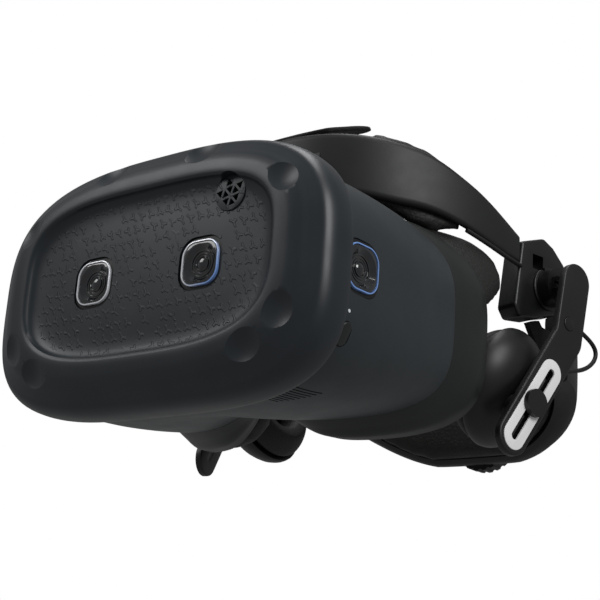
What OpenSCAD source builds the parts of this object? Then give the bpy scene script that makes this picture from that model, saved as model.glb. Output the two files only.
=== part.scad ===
/* [Visor] */
// Distance between the two front tracking cameras
camera_gap = 64; // [60:1:68]
// From the faces of the front cameras back to the eyes
visor_depth = 96; // [93:1:100]
// Half of the front cover's width
cover_half_w = 98; // [96:0.5:100]
// Top edge of the front cover above the eyes
cover_top = 59.6; // [59:0.5:62]
// Bottom edge of the front cover below the eyes
cover_bottom = 61; // [60:0.5:64]
// Wall of the front cover
cover_wall = 2.4; // [1.8:0.1:2.8]
// Wall of the main housing
housing_wall = 2.6; // [2:0.1:3.2]
// Half-width of the housing at the seam of the face frame
seam_half_w = 88.5; // [87:0.5:90]
// How far the seam runs back at the temples
seam_wrap = 31; // [27:1:33]
// Width and height of one camera bezel
bezel_size = 20.4; // [19:0.2:21.4]
// Diameter of the round vent in the front cover
vent_d = 18; // [16:0.5:19]
// Width of the shallow corner dimples
dimple_d = 17; // [14:0.5:18]
// How deep the face cushion is over the temples
wing_depth = 29; // [20:1:30]
// Height of the notch for the nose
nose_h = 26; // [20:1:28]

/* [Optics] */
// Distance between the two eye lenses
lens_gap = 64; // [63:0.5:66]
// Outer radius of a lens barrel
barrel_r = 26; // [24.5:0.5:26.5]
// Length of a lens barrel
barrel_l = 32; // [28:1:34]
// How far each lens slides outwards
lens_travel = 4; // [2:0.5:4]
// Radius of the two guide rods
rod_r = 2; // [1.5:0.1:2.4]
// Radius of the adjusting knob
knob_r = 9; // [8:0.5:10]

/* [Head band] */
// Half-width of the band over the temples
band_half_w = 85; // [84:0.5:86]
// Front face of the band, behind the eyes if positive
band_front = -8; // [-9:0.5:-7]
// Thickness of the band
band_t = 4; // [3:0.5:5]
// Thickness of the forehead pad
pad_t = 9; // [6:1:11]
// Half-width of the rear cradle
cradle_half_w = 92; // [91:0.5:93]
// Back of the rear cradle, behind the eyes
cradle_back = 208; // [204:1:212]
// Wall thickness of the rear cradle
cradle_t = 12; // [11:0.5:13]
// Radius of the fitting dial
dial_r = 21; // [19:0.5:22]
// Height of the flip hinge above the eyes
hinge_z = 76; // [75:0.5:78]
// Flip hinge in front of the eyes
hinge_y = -13; // [-14:0.5:-12]
// Radius of the hinge pin
hinge_pin_r = 2.5; // [2:0.1:3]

/* [Earphones] */
// Half-distance between the upper ends of the arms
arm_x = 108; // [107:0.5:110]
// Upper end of an arm behind the eyes
arm_y = 107; // [105:0.5:109]
// Upper end of an arm above the eyes
arm_z = 41; // [39:0.5:43]
// Width of an arm
arm_w = 19.4; // [18:0.2:20]
// Thickness of an arm
arm_t = 4; // [3:0.5:4.5]
// Radius of the hub that carries an arm
hub_r = 10; // [8:0.5:10.5]
// Radius of an ear cup
cup_r = 31; // [29:0.5:32]
// Depth of an ear cup's shell
cup_depth = 14; // [12:0.5:15]
// Thickness of an ear pad
ear_pad_t = 13; // [10:0.5:14]
// Width of the slot in an arm
slot_w = 4.2; // [3.6:0.2:4.6]
// Radius of the slide knob
slide_r = 6.9; // [6:0.1:7.5]
// Diameter of the earphone leads
lead_d = 2.4; // [2:0.1:3]

/* [Ports] */
// Radius of the headphone jack
jack_r = 1.8; // [1.75:0.05:1.9]
// Depth of the headphone jack
jack_l = 14; // [12:0.5:15]

/* [Hidden] */
$fn = 48;
ring_steps = 64;
gap = 0.3;
run_gap = 0.05;

// Places measured back from the front cameras
front = -visor_depth;
floor_y = front + 1;
ridge_y = front - 3.6;
rim_y = front + 11;
skirt_y = front + 20;
recess_w = 73;
recess_top = 38.9;
recess_bottom = 37.2;

// A point of a rounded outline seen from the front, at angle a
function outline(a, w, top, bottom, n_top, n_bottom) =
  let (n = sin(a) >= 0 ? n_top : n_bottom,
       mid = (top - bottom) / 2,
       h = (top + bottom) / 2,
       r = pow(pow(abs(cos(a)) / w, n) + pow(abs(sin(a)) / h, n), -1 / n))
  [r * cos(a), mid + r * sin(a)];

function step_angle(j) = j * 360 / ring_steps;

// How much the notch for the nose lifts a low point at the given width
function nose_lift(x, a, lift) = sin(a) >= 0 ? 0 : lift * exp(-pow(x / 19, 2)) * pow(-sin(a), 2);

// A ring round the visor: it bends back by wrap at the seam's half-width
function ring(w, top, bottom, y, wrap = 0, nose = 0, n_top = 2.8, n_bottom = 4) =
  [for (j = [0 : ring_steps - 1])
    let (a = step_angle(j), p = outline(a, w, top, bottom, n_top, n_bottom))
    [p[0], y + wrap * pow(p[0] / seam_half_w, 2), p[1] + nose_lift(p[0], a, nose)]];

// A ring of the front cover, from the recess (s = 0) to the outer edge (s = 1), or inside the recess
function cover_ring(s, y, k = 1) =
  [for (j = [0 : ring_steps - 1])
    let (a = step_angle(j),
         p = outline(a, recess_w, recess_top, recess_bottom, 3.2, 3.2),
         q = outline(a, cover_half_w, cover_top, cover_bottom, 2.9, 3.6))
    [k * p[0] + s * (q[0] - p[0]), y, k * p[1] + s * (q[1] - p[1])]];

// A skin through rings of equal count; a closed one joins its last ring to its first
module skin(rings, closed = false) {
  m = len(rings[0]);
  k = len(rings);
  walls = [for (i = [0 : closed ? k - 1 : k - 2], j = [0 : m - 1])
    let (i2 = (i + 1) % k, j2 = (j + 1) % m, a = i * m + j, b = i * m + j2, c = i2 * m + j2, d = i2 * m + j)
    each [[a, c, b], [a, d, c]]];
  l = (k - 1) * m;
  ends = closed ? [] : [for (j = [1 : m - 2]) each [[0, j, j + 1], [l, l + j + 1, l + j]]];
  polyhedron([for (r = rings) each r], concat(walls, ends));
}

module sided(s) {
  if (s > 0) children(); else mirror([1, 0, 0]) children();
}

// A square with rounded corners, centred
module round_square(size, r) {
  square([size - 2 * r, size], center = true);
  square([size, size - 2 * r], center = true);
  for (x = [-1, 1], y = [-1, 1]) translate([x, y] * (size / 2 - r)) circle(r);
}

// A flat bar with round ends between two points
module bar(p, q, r, less = 0) {
  d = q - p;
  translate(p) circle(r);
  translate(q) circle(r);
  translate((p + q) / 2) rotate(atan2(d[1], d[0])) square([norm(d), 2 * r - less], center = true);
}

// Turns a flat shape to face forwards and gives it a depth towards the back
module facing(y, depth) {
  translate([0, y, 0]) rotate([90, 0, 0]) mirror([0, 0, 1]) linear_extrude(depth) children();
}

/* ---- front cover ---- */

// Depth of the cover behind its ridge, from the recess (0) to the outer edge (1)
cover_profile = [[0, 0.7], [0.05, 0.1], [0.12, 0], [0.3, 0.4], [0.5, 2], [0.66, 4.4], [0.78, 6.2], [0.86, 7.4],
  [0.92, 9.2], [0.97, 12], [0.995, 15.5], [1, 18.6]];
dimple_h = 2;
dimple_ball = (pow(dimple_d / 2, 2) + pow(dimple_h, 2)) / (2 * dimple_h);
// Angle of each dimple on one half, and how far out it sits between the recess and the edge
dimples = [[23, 0.42], [-20, 0.4], [-35, 0.42], [66, 0.72]];

// A shallow round hollow, square to the cover's surface
module dimple(a, s) {
  p = outline(a, recess_w, recess_top, recess_bottom, 3.2, 3.2);
  q = outline(a, cover_half_w, cover_top, cover_bottom, 2.9, 3.6);
  slope = (lookup(s + 0.03, cover_profile) - lookup(s - 0.03, cover_profile)) / 0.06 / norm(q - p);
  d = (q - p) / norm(q - p);
  n = [slope * d[0], -1, slope * d[1]] / norm([slope, 1]);
  c = p + s * (q - p);
  translate([c[0], ridge_y + lookup(s, cover_profile), c[1]] + n * (dimple_ball - dimple_h)) sphere(dimple_ball);
}

vent_x = camera_gap / 2 + 14;
vent_z = 28.5;

module faceplate() {
  color("#2b3037") difference() {
    skin(concat([
      cover_ring(0, floor_y - 0.6, 0.03), cover_ring(0, floor_y - 0.4, 0.5), cover_ring(0, floor_y, 0.8),
      cover_ring(0, floor_y - 0.3, 0.9), cover_ring(0, floor_y - 1.1, 0.955), cover_ring(0, floor_y - 2.3, 0.985)],
      [for (c = cover_profile) cover_ring(c[0], ridge_y + c[1])], [
      cover_ring(0.985, skirt_y),
      cover_ring(0.985 - cover_wall / 26, skirt_y), cover_ring(1 - cover_wall / 26, front + 13),
      cover_ring(0.86, ridge_y + 13), cover_ring(0.7, ridge_y + 10), cover_ring(0.5, ridge_y + 7.4),
      cover_ring(0.15, floor_y + cover_wall + 0.6), cover_ring(0, floor_y + cover_wall + 0.2, 0.98),
      cover_ring(0, floor_y + cover_wall, 0.5), cover_ring(0, floor_y + cover_wall - 0.4, 0.03)]));
    for (s = [-1, 1]) {
      translate([s * camera_gap / 2, 0, 0]) facing(front - 8, 20) round_square(bezel_size + 0.6, 6.8);
      sided(s) for (d = dimples) dimple(d[0], d[1]);
    }
    translate([vent_x, 0, vent_z]) facing(front - 8, 20) circle(d = vent_d + 2 * gap);
  }
}

// Round vent: a rim, six spokes and two rings of three-cornered openings
module vent_grille() {
  color("#15181c") translate([vent_x, 0, vent_z]) {
    difference() {
      facing(floor_y - 0.8, cover_wall + 2) circle(d = vent_d);
      for (i = [0 : 5]) facing(floor_y - 2, 6) rotate(i * 60 + 30) {
        polygon([[1.3, 0], [3.8, 1.7], [3.8, -1.7]]);
        polygon([[7.6, 0], [4.9, 2.1], [4.9, -2.1]]);
      }
      for (i = [0 : 5]) facing(floor_y - 2, 6) rotate(i * 60)
        polygon([[4.1, 0], [7.5, 1.9], [7.5, -1.9]]);
    }
    facing(floor_y + cover_wall + 0.7, 1.2) difference() {
      circle(d = vent_d + 3);
      circle(d = vent_d - 2);
    }
  }
}

/* ---- cameras: drawn facing forwards with the face of the bezel at zero ---- */

module camera_bezel() {
  difference() {
    union() {
      facing(0, 2) round_square(bezel_size, 6.6);
      facing(-0.7, 0.8) round_square(bezel_size - 1, 6.1);
      facing(1.9, 12) round_square(bezel_size - 2, 5.6);
    }
    facing(-2, 3.5) round_square(bezel_size - 3.4, 4.9);
    translate([0, 1, 0]) rotate([-90, 0, 0]) cylinder(r = 6.4, h = 9);
  }
}

module camera_lens() {
  facing(0.9, 0.6) difference() {
    round_square(bezel_size - 3.6, 4.8);
    circle(6.3);
  }
  rotate([-90, 0, 0]) rotate_extrude()
    polygon([[0, 1.2], [1.6, 1.3], [3, 1.7], [3.1, 0.4], [4.2, 0.4], [4.4, 1], [5.2, 1], [5.4, 0.5],
      [6.3, 0.5], [6.3, 9.4], [0, 9.4]]);
}

module front_bezel(s) {
  color("#dfe3e8") translate([s * camera_gap / 2, front, 0]) camera_bezel();
}

module front_camera(s) {
  color("#07080a") translate([s * camera_gap / 2, front, 0]) camera_lens();
}

side_camera_at = [94.4, front + 33, -2.5];
module at_side_camera(s) {
  sided(s) translate(side_camera_at) rotate([0, 0, 86]) children();
}

module side_bezel(s) {
  color("#dfe3e8") at_side_camera(s) camera_bezel();
}

module side_camera(s) {
  color("#07080a") at_side_camera(s) camera_lens();
}

/* ---- main housing ---- */

// Outer and inner half-sizes of the housing along its depth: width, top, bottom, place, wrap, nose
housing_ribs = [
  [94.2, 54.4, 56, front + 14, 0, 0, 3.3], [94.4, 54.6, 56.2, skirt_y + 0.6, 0, 0, 3.4],
  [94.8, 56.2, 56, front + 36, 0, 0, 3.8], [94.2, 57.4, 55, front + 56, 4, 2, 4],
  [92.4, 57.8, 53, front + 72, 14, 4, 4], [seam_half_w, 57, 50, front + 86, seam_wrap, 7, 4]];

function housing_ring(i, inset, y_shift = 0) =
  let (h = housing_ribs[i])
  ring(h[0] - inset, h[1] - inset, h[2] - inset, h[3] + y_shift, h[4], h[5], 2.8, h[6]);

button_at = [90.1, front + 22.7, -32.5];
button_tilt = 26;
button_w = 5.4;
button_l = 11;
light_at = [93.5, front + 25.4, -22.5];
jack_at = [-44, front + 50, 57.4];
gland_at = [-66, front + 50, 50];
gland_r = 4.4;
lens_y = -20;
screw_z = -40;
rod_y = lens_y - barrel_l + 5;
knob_x = -86;

module oval(l, w) {
  translate([0, (l - w) / 2]) circle(d = w);
  translate([0, -(l - w) / 2]) circle(d = w);
  square([w, l - w], center = true);
}

// Drawn in the YZ plane and pushed through the side wall
module side_cut(depth = 20) {
  rotate([90, 0, 90]) translate([0, 0, -depth / 2]) linear_extrude(depth) children();
}

module vent_slots(s) {
  for (i = [0 : 8]) translate([s * (47 + 4.2 * i), front + 27 + 0.9 * i, -62])
    rotate([0, 0, -s * 12]) translate([-0.8, 0, 0]) cube([1.6, 17 - 0.9 * i, 20]);
}

module main_housing() {
  color("#3a424b") difference() {
    skin([for (i = [0 : 5]) housing_ring(i, 0), for (i = [5 : -1 : 0]) housing_ring(i, housing_wall)], true);
    for (s = [-1, 1]) {
      sided(s) translate(side_camera_at) rotate([0, 0, 86]) facing(-8, 26)
        round_square(bezel_size + 0.6, 6.8);
      vent_slots(s);
    }
    at_button() side_cut() oval(button_l + 2 * gap, button_w + 2 * gap);
    translate(light_at) side_cut() circle(d = 1.8);
    translate(jack_at - [0, 0, 10]) cylinder(r = 3.3 + run_gap, h = 20);
    translate(gland_at) rotate([0, -38, 0]) translate([0, 0, -10]) cylinder(r = gland_r, h = 20);
    translate([knob_x - 14, rod_y, screw_z]) rotate([0, 90, 0]) cylinder(r = knob_r, h = 30);
  }
}

// Local frame of the button: X along the side wall's normal there
module at_button() {
  translate(button_at) rotate([0, button_tilt, 0]) children();
}

module headset_button() {
  color("#22262b") at_button() rotate([90, 0, 90]) {
    translate([0, 0, -4]) linear_extrude(4.4) oval(button_l, button_w);
    translate([0, 0, -5.3]) linear_extrude(1.4) oval(button_l + 2.2, button_w + 2.2);
  }
}

module status_light() {
  color("white") translate(light_at) rotate([0, 90, 0]) translate([0, 0, -3.4]) cylinder(d = 1.5, h = 3.6);
}

module audio_socket() {
  color("#101214") translate(jack_at) difference() {
    union() {
      translate([0, 0, 0.4 - jack_l]) cylinder(r = 3.3, h = jack_l);
      translate([0, 0, -jack_l - 1]) cylinder(r = 4.6, h = jack_l - 6);
    }
    translate([0, 0, 0.4 - jack_l]) cylinder(r = jack_r, h = jack_l + 1);
  }
}

module cable_gland() {
  color("#101214") translate(gland_at) rotate([0, -38, 0]) difference() {
    union() {
      translate([0, 0, -4]) cylinder(r = gland_r - run_gap, h = 12);
      translate([0, 0, 1.4]) cylinder(r = gland_r + 1.4, h = 2.2);
    }
    translate([0, 0, -5]) cylinder(r = 2.6, h = 14);
  }
}

/* ---- inside the visor ---- */

board_y = front + 26;
fan_y = floor_y + 5;
fan_size = 32;

module main_board() {
  color("#1d5a3a") difference() {
    facing(board_y, 1.6) square([150, 74], center = true);
    for (x = [-70, 70], z = [-32, 32]) translate([x, board_y - 1, z]) rotate([-90, 0, 0]) cylinder(r = 1.5, h = 4);
  }
  color("#16181b") for (x = [-48, -16, 16, 48]) translate([x - 8, board_y + 1.6, 14]) cube([16, 1.4, 16]);
}

module heat_sink() {
  color("#9aa0a6") {
    translate([-38, board_y - 2, -32]) cube([76, 2, 20]);
    for (i = [0 : 14]) translate([-37.6 + 5.3 * i, board_y - 9, -32]) cube([1.2, 7.2, 20]);
  }
}

module fan_frame() {
  color("#1a1c1f") translate([vent_x, fan_y, vent_z]) {
    difference() {
      facing(0, 8) square(fan_size, center = true);
      facing(-1, 10) circle(14.4);
    }
    facing(6.6, 1.4) {
      circle(5.6);
      for (a = [30, 150, 270]) rotate(a) translate([0, -0.8]) square([15, 1.6]);
    }
    rotate([-90, 0, 0]) translate([0, 0, 2.4]) cylinder(r = 1.2, h = 4.4);
    // posts down to the board
    for (x = [-13.5, 13.5], z = [-13.5, 13.5])
      translate([x, 8, z]) rotate([-90, 0, 0]) cylinder(r = 1.5, h = board_y - fan_y - 8);
  }
}

module fan_impeller() {
  color("#2a2d31") translate([vent_x, fan_y, vent_z]) difference() {
    union() {
      facing(0.8, 5) circle(5.2);
      for (i = [0 : 6]) rotate([0, i * 360 / 7, 0]) translate([4.6, 3.4, 0]) rotate([38, 0, 0])
        translate([0, -0.5, -3]) cube([9, 1, 6]);
    }
    rotate([-90, 0, 0]) translate([0, 0, 2]) cylinder(r = 1.2 + run_gap, h = 5);
  }
}

tray_w = housing_ribs[2][0] - housing_wall - 4.2;
tray_y = lens_y - 5;

// The dark plate round the lenses, with brackets for the guide rods
module optics_tray() {
  color("#0d0e10") {
    facing(tray_y, 2) difference() {
      polygon([for (j = [0 : ring_steps - 1]) outline(step_angle(j), tray_w, 53.4, 44, 2.8, 3)]);
      for (s = [-1, 1]) bar([s * (lens_gap / 2 - 1.6), 0], [s * (lens_gap / 2 + lens_travel + 0.6), 0], barrel_r + 0.5);
      translate([0, -44]) scale([1, 1]) circle(17);
    }
    for (s = [-1, 1]) difference() {
      translate([s * 71 - 2, rod_y - 4.5, -43.5]) cube([4, tray_y - rod_y + 4.6, 80.5]);
      for (z = [-33, 33]) translate([s * 71 - 3, rod_y, z]) rotate([0, 90, 0]) cylinder(r = rod_r, h = 6);
      translate([s * 71 - 3, rod_y, screw_z]) rotate([0, 90, 0]) cylinder(r = screw_r + run_gap, h = 6);
      translate([s * 71 - 3, rod_y + 6, -26]) cube([6, 14, 52]);
    }
  }
}

module guide_rods() {
  color("#c0c4c8") for (z = [-33, 33]) translate([-73, rod_y, z]) rotate([0, 90, 0]) cylinder(r = rod_r, h = 146);
}

screw_r = 1.8;

module lens_barrel(s) {
  color("#16181a") difference() {
    union() {
      translate([s * lens_gap / 2, lens_y - barrel_l, 0]) rotate([-90, 0, 0]) difference() {
        cylinder(r = barrel_r, h = barrel_l);
        translate([0, 0, -1]) cylinder(r = barrel_r - 3.4, h = barrel_l - 4);
        cylinder(r = barrel_r - 1.6, h = barrel_l + 1);
      }
      for (z = [-1, 1]) translate([s * lens_gap / 2 - 9, rod_y - 3.6, z > 0 ? 24.6 : -36.6])
        cube([18, 7.2, 12]);
      translate([s * lens_gap / 2 - 5, rod_y - 3.6, screw_z - 3.6]) cube([10, 7.2, 8]);
    }
    for (z = [-33, 33]) translate([s * lens_gap / 2 - 10, rod_y, z]) rotate([0, 90, 0])
      cylinder(r = rod_r + run_gap, h = 20);
    translate([s * lens_gap / 2 - 10, rod_y, screw_z]) rotate([0, 90, 0]) cylinder(r = screw_r + run_gap, h = 20);
    translate([s * lens_gap / 2, lens_y - barrel_l - 1, 0]) rotate([-90, 0, 0]) cylinder(r = barrel_r - 3.4, h = barrel_l - 4);
  }
}

module eye_lens(s) {
  color([0.6, 0.7, 0.75, 0.5]) translate([s * lens_gap / 2, lens_y, 0]) rotate([-90, 0, 0])
    rotate_extrude($fn = 64) polygon(concat([[0, -5.8]], [[barrel_r - 1.7, -4]],
      [for (i = [0 : 10]) let (r = (barrel_r - 1.7) * (1 - i / 10)) [r, -1.8 + 1.5 * (1 - pow(r / (barrel_r - 1.7), 2))]]));
}

module display(s) {
  color("#0a0b0d") translate([s * lens_gap / 2, 0, 0]) facing(lens_y - barrel_l - 2.4, 2.4)
    square([55, 58], center = true);
}

// Knob at the wearer's right with its long screw
module spacing_knob() {
  color("#1c1f23") translate([0, rod_y, screw_z]) rotate([0, 90, 0]) {
    translate([0, 0, knob_x - 4]) difference() {
      cylinder(r = knob_r - 0.6, h = 8);
      for (i = [0 : 23]) rotate(i * 15) translate([knob_r - 0.2, 0, -1]) cylinder(r = 0.8, h = 10, $fn = 16);
    }
    translate([0, 0, knob_x]) cylinder(r = screw_r, h = 73 - knob_x);
  }
}

/* ---- face frame and cushion ---- */

frame_ribs = [
  [seam_half_w - 0.2, 57, 50, front + 86 + gap, seam_wrap, 7], [90, 59.6, 53, front + 92, 34, 12],
  [90.6, 61, 56, front + 98, 38, 19], [89.6, 61, 56, front + 103.4, 41.6, nose_h],
  [87.6, 59.4, 54.6, front + 104, 42, nose_h]];

module face_frame() {
  color("#30373a") skin([
    for (f = frame_ribs) ring(f[0], f[1], f[2], f[3], f[4], f[5]),
    ring(82, 54, 48.6, front + 103.6, 42, nose_h), ring(81, 53.4, 47.2, front + 98, 38, nose_h - 4),
    ring(84.6, 53, 46, front + 86 + gap, seam_wrap, 9)], true);
}

// The cushion grows deeper over the temples and stays shallow by the cheeks
function temple(z) = let (t = min(1, max(0, (z - 6) / 26))) t * t * (3 - 2 * t);
function cushion_depth(p) =
  let (w = min(1, pow(abs(p[0]) / 80, 2.5)))
  13 * (1 - w) + w * (3 + wing_depth * temple(p[2]));
function cushion_ring(w, top, bottom, k) =
  [for (p = ring(w, top, bottom, front + 104 + gap, 42, nose_h, 2.8 + 3 * k))
    [p[0] - sign(p[0]) * pow(k, 2) * 1.6 * temple(p[2]), p[1] + k * cushion_depth(p),
      p[2] + k * flare * temple(p[2]) * min(1, pow(p[0] / 70, 4))]];

// How far the cushion's upper corners rise towards the temples
flare = 3;

module face_cushion() {
  color("#23241f") skin([
    cushion_ring(86.6, 58.6, 53.6, 0), cushion_ring(87, 59, 54.2, 0.3), cushion_ring(86.8, 58.8, 53.8, 0.65),
    cushion_ring(85.4, 57.4, 52.6, 0.9), cushion_ring(82.6, 55, 50.2, 1), cushion_ring(79.4, 52, 47, 0.92),
    cushion_ring(77.6, 50, 45, 0.66), cushion_ring(77.4, 49.8, 44.8, 0.3), cushion_ring(82.6, 54, 48.6, 0)], true);
}

/* ---- flip hinge ---- */

knuckle_r = 3.5;
hinge_half = 20;

// Two ears that rise from the housing's top
module visor_hinge() {
  color("#1b1e22") difference() {
    union() {
      for (x = [-11, 11]) translate([x - 4, hinge_y, hinge_z]) rotate([0, 90, 0]) cylinder(r = knuckle_r, h = 8);
      for (x = [-11, 11]) translate([x - 4, hinge_y - knuckle_r, 59]) cube([8, 2 * knuckle_r, hinge_z - 59]);
      translate([-24, hinge_y - 26, 57.9]) cube([48, 30.6, 2.4]);
    }
    translate([-20, hinge_y, hinge_z]) rotate([0, 90, 0]) cylinder(r = hinge_pin_r + run_gap, h = 40);
    for (x = [-19, 19], y = [-21, 1]) translate([x, hinge_y + y, 50]) cylinder(r = 1.4, h = 14);
  }
}

module hinge_bracket() {
  color("#1b1e22") difference() {
    union() {
      for (x = [-19, 0, 19]) translate([x - 3.4, hinge_y, hinge_z]) rotate([0, 90, 0])
        cylinder(r = knuckle_r, h = 6.8);
      for (x = [-19, 0, 19]) translate([x - 3.4, hinge_y, hinge_z - knuckle_r])
        cube([6.8, band_front - hinge_y - gap, 2 * knuckle_r]);
      translate([-26, band_front - gap - 1, hinge_z - 9]) cube([52, 1, 19]);
    }
    translate([-30, hinge_y, hinge_z]) rotate([0, 90, 0]) cylinder(r = hinge_pin_r + run_gap, h = 60);
  }
}

module hinge_pin() {
  color("#b8bcc0") translate([-22.8, hinge_y, hinge_z]) rotate([0, 90, 0]) cylinder(r = hinge_pin_r, h = 45.6);
}

/* ---- head band ---- */

band_centre = 94;

// A point of the band's outer face in plan at angle a, measured from the front
function band_plan(a, inset) =
  [(band_half_w - inset) * sin(a), band_centre - (band_centre - band_front - inset) * cos(a)];
// Heights of the band's edges at the given place behind the eyes
function ease(t) = let (u = min(1, max(0, t))) u * u * (3 - 2 * u);
function band_top(y) = 100 - 10 * ease((y + 8) / 60) - 26 * ease((y - 24) / 80);
function band_low(y) = 68 - 5 * ease((y + 8) / 30) - 13 * ease((y - 20) / 70);

// A section of a band: crowned outer face, flat inner face, from low to high
function band_section(a, inset, t, rise, drop, bulge) =
  let (c = band_plan(a, inset), d = band_plan(a, inset + t), b = band_plan(a, inset - bulge),
       hi = band_top(c[1]) + rise, lo = band_low(c[1]) - drop, e = min(2, t / 3))
  [[c[0], c[1], lo], [b[0], b[1], lo + e + 1], [b[0], b[1], (lo + hi) / 2], [b[0], b[1], hi - e - 1],
   [c[0], c[1], hi], [d[0], d[1], hi - e], [d[0], d[1], (lo + hi) / 2], [d[0], d[1], lo + e]];

module front_band() {
  color("#191c1f") skin([for (a = [-88 : 4 : 88]) band_section(a, 1, band_t - 1, 0, 0, 1)]);
}

module forehead_pad() {
  color("#23241f") skin([for (a = [-70 : 5 : 70])
    let (e = ease((70 - abs(a)) / 18), m = ease((34 - abs(a)) / 10))
    band_section(a, band_t + gap, 1.5 + (pad_t - 1.5) * e, 6 * e - 1 - 8 * m, 4 * e - 1, 0.2)]);
}

// Folded flap in the middle of the band's top edge, where a strap over the head starts
module strap_anchor() {
  color("#1f2225") skin([for (p = [[0, -1.5, 100.2, 24], [0.2, 5, 103.2, 26], [0.5, 20, 109.6, 28.6], [1, 35, 114.6, 29.4]])
    [[0, p[1], p[2] + 0.8], [-p[3], p[1], p[2]], [-p[3], p[1] - 1.5, p[2] + 2.2], [0, p[1] - 1.5, p[2] + 3],
     [p[3], p[1] - 1.5, p[2] + 2.2], [p[3], p[1], p[2]]]]);
}

// Rear half of the ring in plan, from the temples round the back of the head
cradle_centre = 104;
function cradle_plan(a, inset) =
  let (w = cradle_half_w - inset, l = cradle_back - cradle_centre - inset, n = 2.6,
       r = pow(pow(abs(sin(a)) / w, n) + pow(abs(cos(a)) / l, n), -1 / n))
  [r * sin(a), cradle_centre + r * cos(a)];
function cradle_top(y) = 34 - 8 * ease((y - 140) / 60);
function cradle_low(y) = -4 - 27 * pow(min(1, max(0, (y - 140) / 66)), 2.2);

function cradle_section(a, inset, t, trim, bulge) =
  let (c = cradle_plan(a, inset), d = cradle_plan(a, inset + t), b = cradle_plan(a, inset - bulge),
       hi = cradle_top(c[1]) - trim, lo = cradle_low(c[1]) + trim)
  [[c[0], c[1], lo], [d[0], d[1], lo + 2], [d[0], d[1], (lo + hi) / 2], [d[0], d[1], hi - 2],
   [c[0], c[1], hi], [b[0], b[1], hi - 3], [b[0], b[1], (lo + hi) / 2], [b[0], b[1], lo + 3]];

// Angle at which the straps enter the cradle
cradle_end = 70;
strap_t = 2.8;
strap_x = cradle_half_w - 12.4;
dial_at = [0, cradle_back - 4, -13];
rack_z = 6.4;
channel_y = cradle_back - cradle_t + 3;

module rear_cradle() {
  color("#1c1f22") difference() {
    // the ring in plan, trimmed to the curves of its upper and lower edges
    intersection() {
      translate([0, 0, -50]) linear_extrude(100) polygon(concat(
        [for (a = [-cradle_end : 5 : cradle_end]) cradle_plan(a, 0)],
        [for (a = [cradle_end : -5 : -cradle_end]) cradle_plan(a, cradle_t)]));
      rotate([90, 0, 90]) translate([0, 0, -100]) linear_extrude(200) polygon(concat(
        [for (y = [130 : 8 : 210]) [y, cradle_top(y)]], [for (y = [210 : -8 : 130]) [y, cradle_low(y)]]));
    }
    // channel for the racks and the dial's well
    translate([-46, channel_y, dial_at[2] - 11]) cube([92, 5, 22]);
    translate([0, channel_y - 0.6, dial_at[2]]) rotate([-90, 0, 0]) cylinder(r = 3 + run_gap, h = 20);
    translate([0, dial_at[1] - 0.6, dial_at[2]]) rotate([-90, 0, 0]) cylinder(r = dial_r + 0.8, h = 20);
    // pockets where the side straps slide in
    for (s = [-1, 1]) sided(s) translate([strap_x - 0.4, 130, 7.6]) cube([strap_t + 0.8, 34, 16.8]);
  }
}

module rear_pad() {
  color("#23241f") skin([for (a = [-55 : 5 : 55])
    let (e = ease((55 - abs(a)) / 14)) cradle_section(a, cradle_t + gap, 2 + 7 * e, 2.4 - e, 0.1)]);
}

// Straight tail of each side strap, from the pivot block into the cradle's pocket
module side_strap(s) {
  color("#15171a") sided(s) translate([strap_x, 0, 0]) rotate([90, 0, 90]) linear_extrude(strap_t)
    polygon([[106, 22.4], [113.4, 25.4], [118, 26.6], [121.5, 24], [153.5, 24], [153.5, 8], [120, 8]]);
}

pinion_r = 6;

module fitting_dial() {
  color("#24282c") translate(dial_at) rotate([-90, 0, 0]) {
    difference() {
      cylinder(r = dial_r, h = 9);
      for (i = [0 : 23]) rotate(i * 15) translate([dial_r + 0.6, 0, -1]) cylinder(r = 1.6, h = 12, $fn = 16);
      translate([0, 0, 7.4]) cylinder(r = dial_r - 6, h = 3);
    }
    translate([0, 0, -5.4]) cylinder(r = 3, h = 6);
    translate([0, 0, -4.6]) linear_extrude(3.6) {
      circle(pinion_r - 0.6);
      for (i = [0 : 11]) rotate(i * 30) polygon([[4, -1], [pinion_r + 1, -0.45], [pinion_r + 1, 0.45], [4, 1]]);
    }
  }
}

// Toothed strips that the pinion drives apart or together
module rack(s) {
  pitch = 2 * PI * pinion_r / 12;
  color("#8a8f94") translate([0, dial_at[1] - 4.6, dial_at[2]]) mirror([s > 0 ? 0 : 1, 0, 0])
    mirror([0, 0, s > 0 ? 0 : 1]) {
    translate([-12, 0, pinion_r + 1.3]) cube([46, 3.2, 2.6]);
    for (i = [0 : 7]) translate([(i - 2.5) * pitch, 0, pinion_r + 1.3])
      rotate([-90, 0, 0]) linear_extrude(3.2) polygon([[-0.9, -0.3], [0.9, -0.3], [0.4, 1.8], [-0.4, 1.8]]);
  }
}

/* ---- earphones: local frame at the upper end of the arm, X outwards, Y back, Z up ---- */

arm_yaw = -15;
arm_bend = [-6, -32];
arm_end = [-45.2, -88.5];
slot_top = [-19.5, -52.6];
slot_mid = (slot_top + arm_end) / 2;
hub_l = 16;
shaft_r = 4;
ball_in = 11;
ball_r = 4.6;
cup_yaw = 15;
cup_tilt = 20;
cup_up = 8;
cup_back = 8.5;

module at_arm(s) {
  sided(s) translate([arm_x, arm_y, arm_z]) rotate([0, 0, arm_yaw]) children();
}

// Draws a flat shape in the arm's plane and gives it a thickness outwards from x
module plate(x, t) {
  translate([x, 0, 0]) rotate([90, 0, 90]) linear_extrude(t) children();
}

block_l = 27;
block_h = 40;

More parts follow.
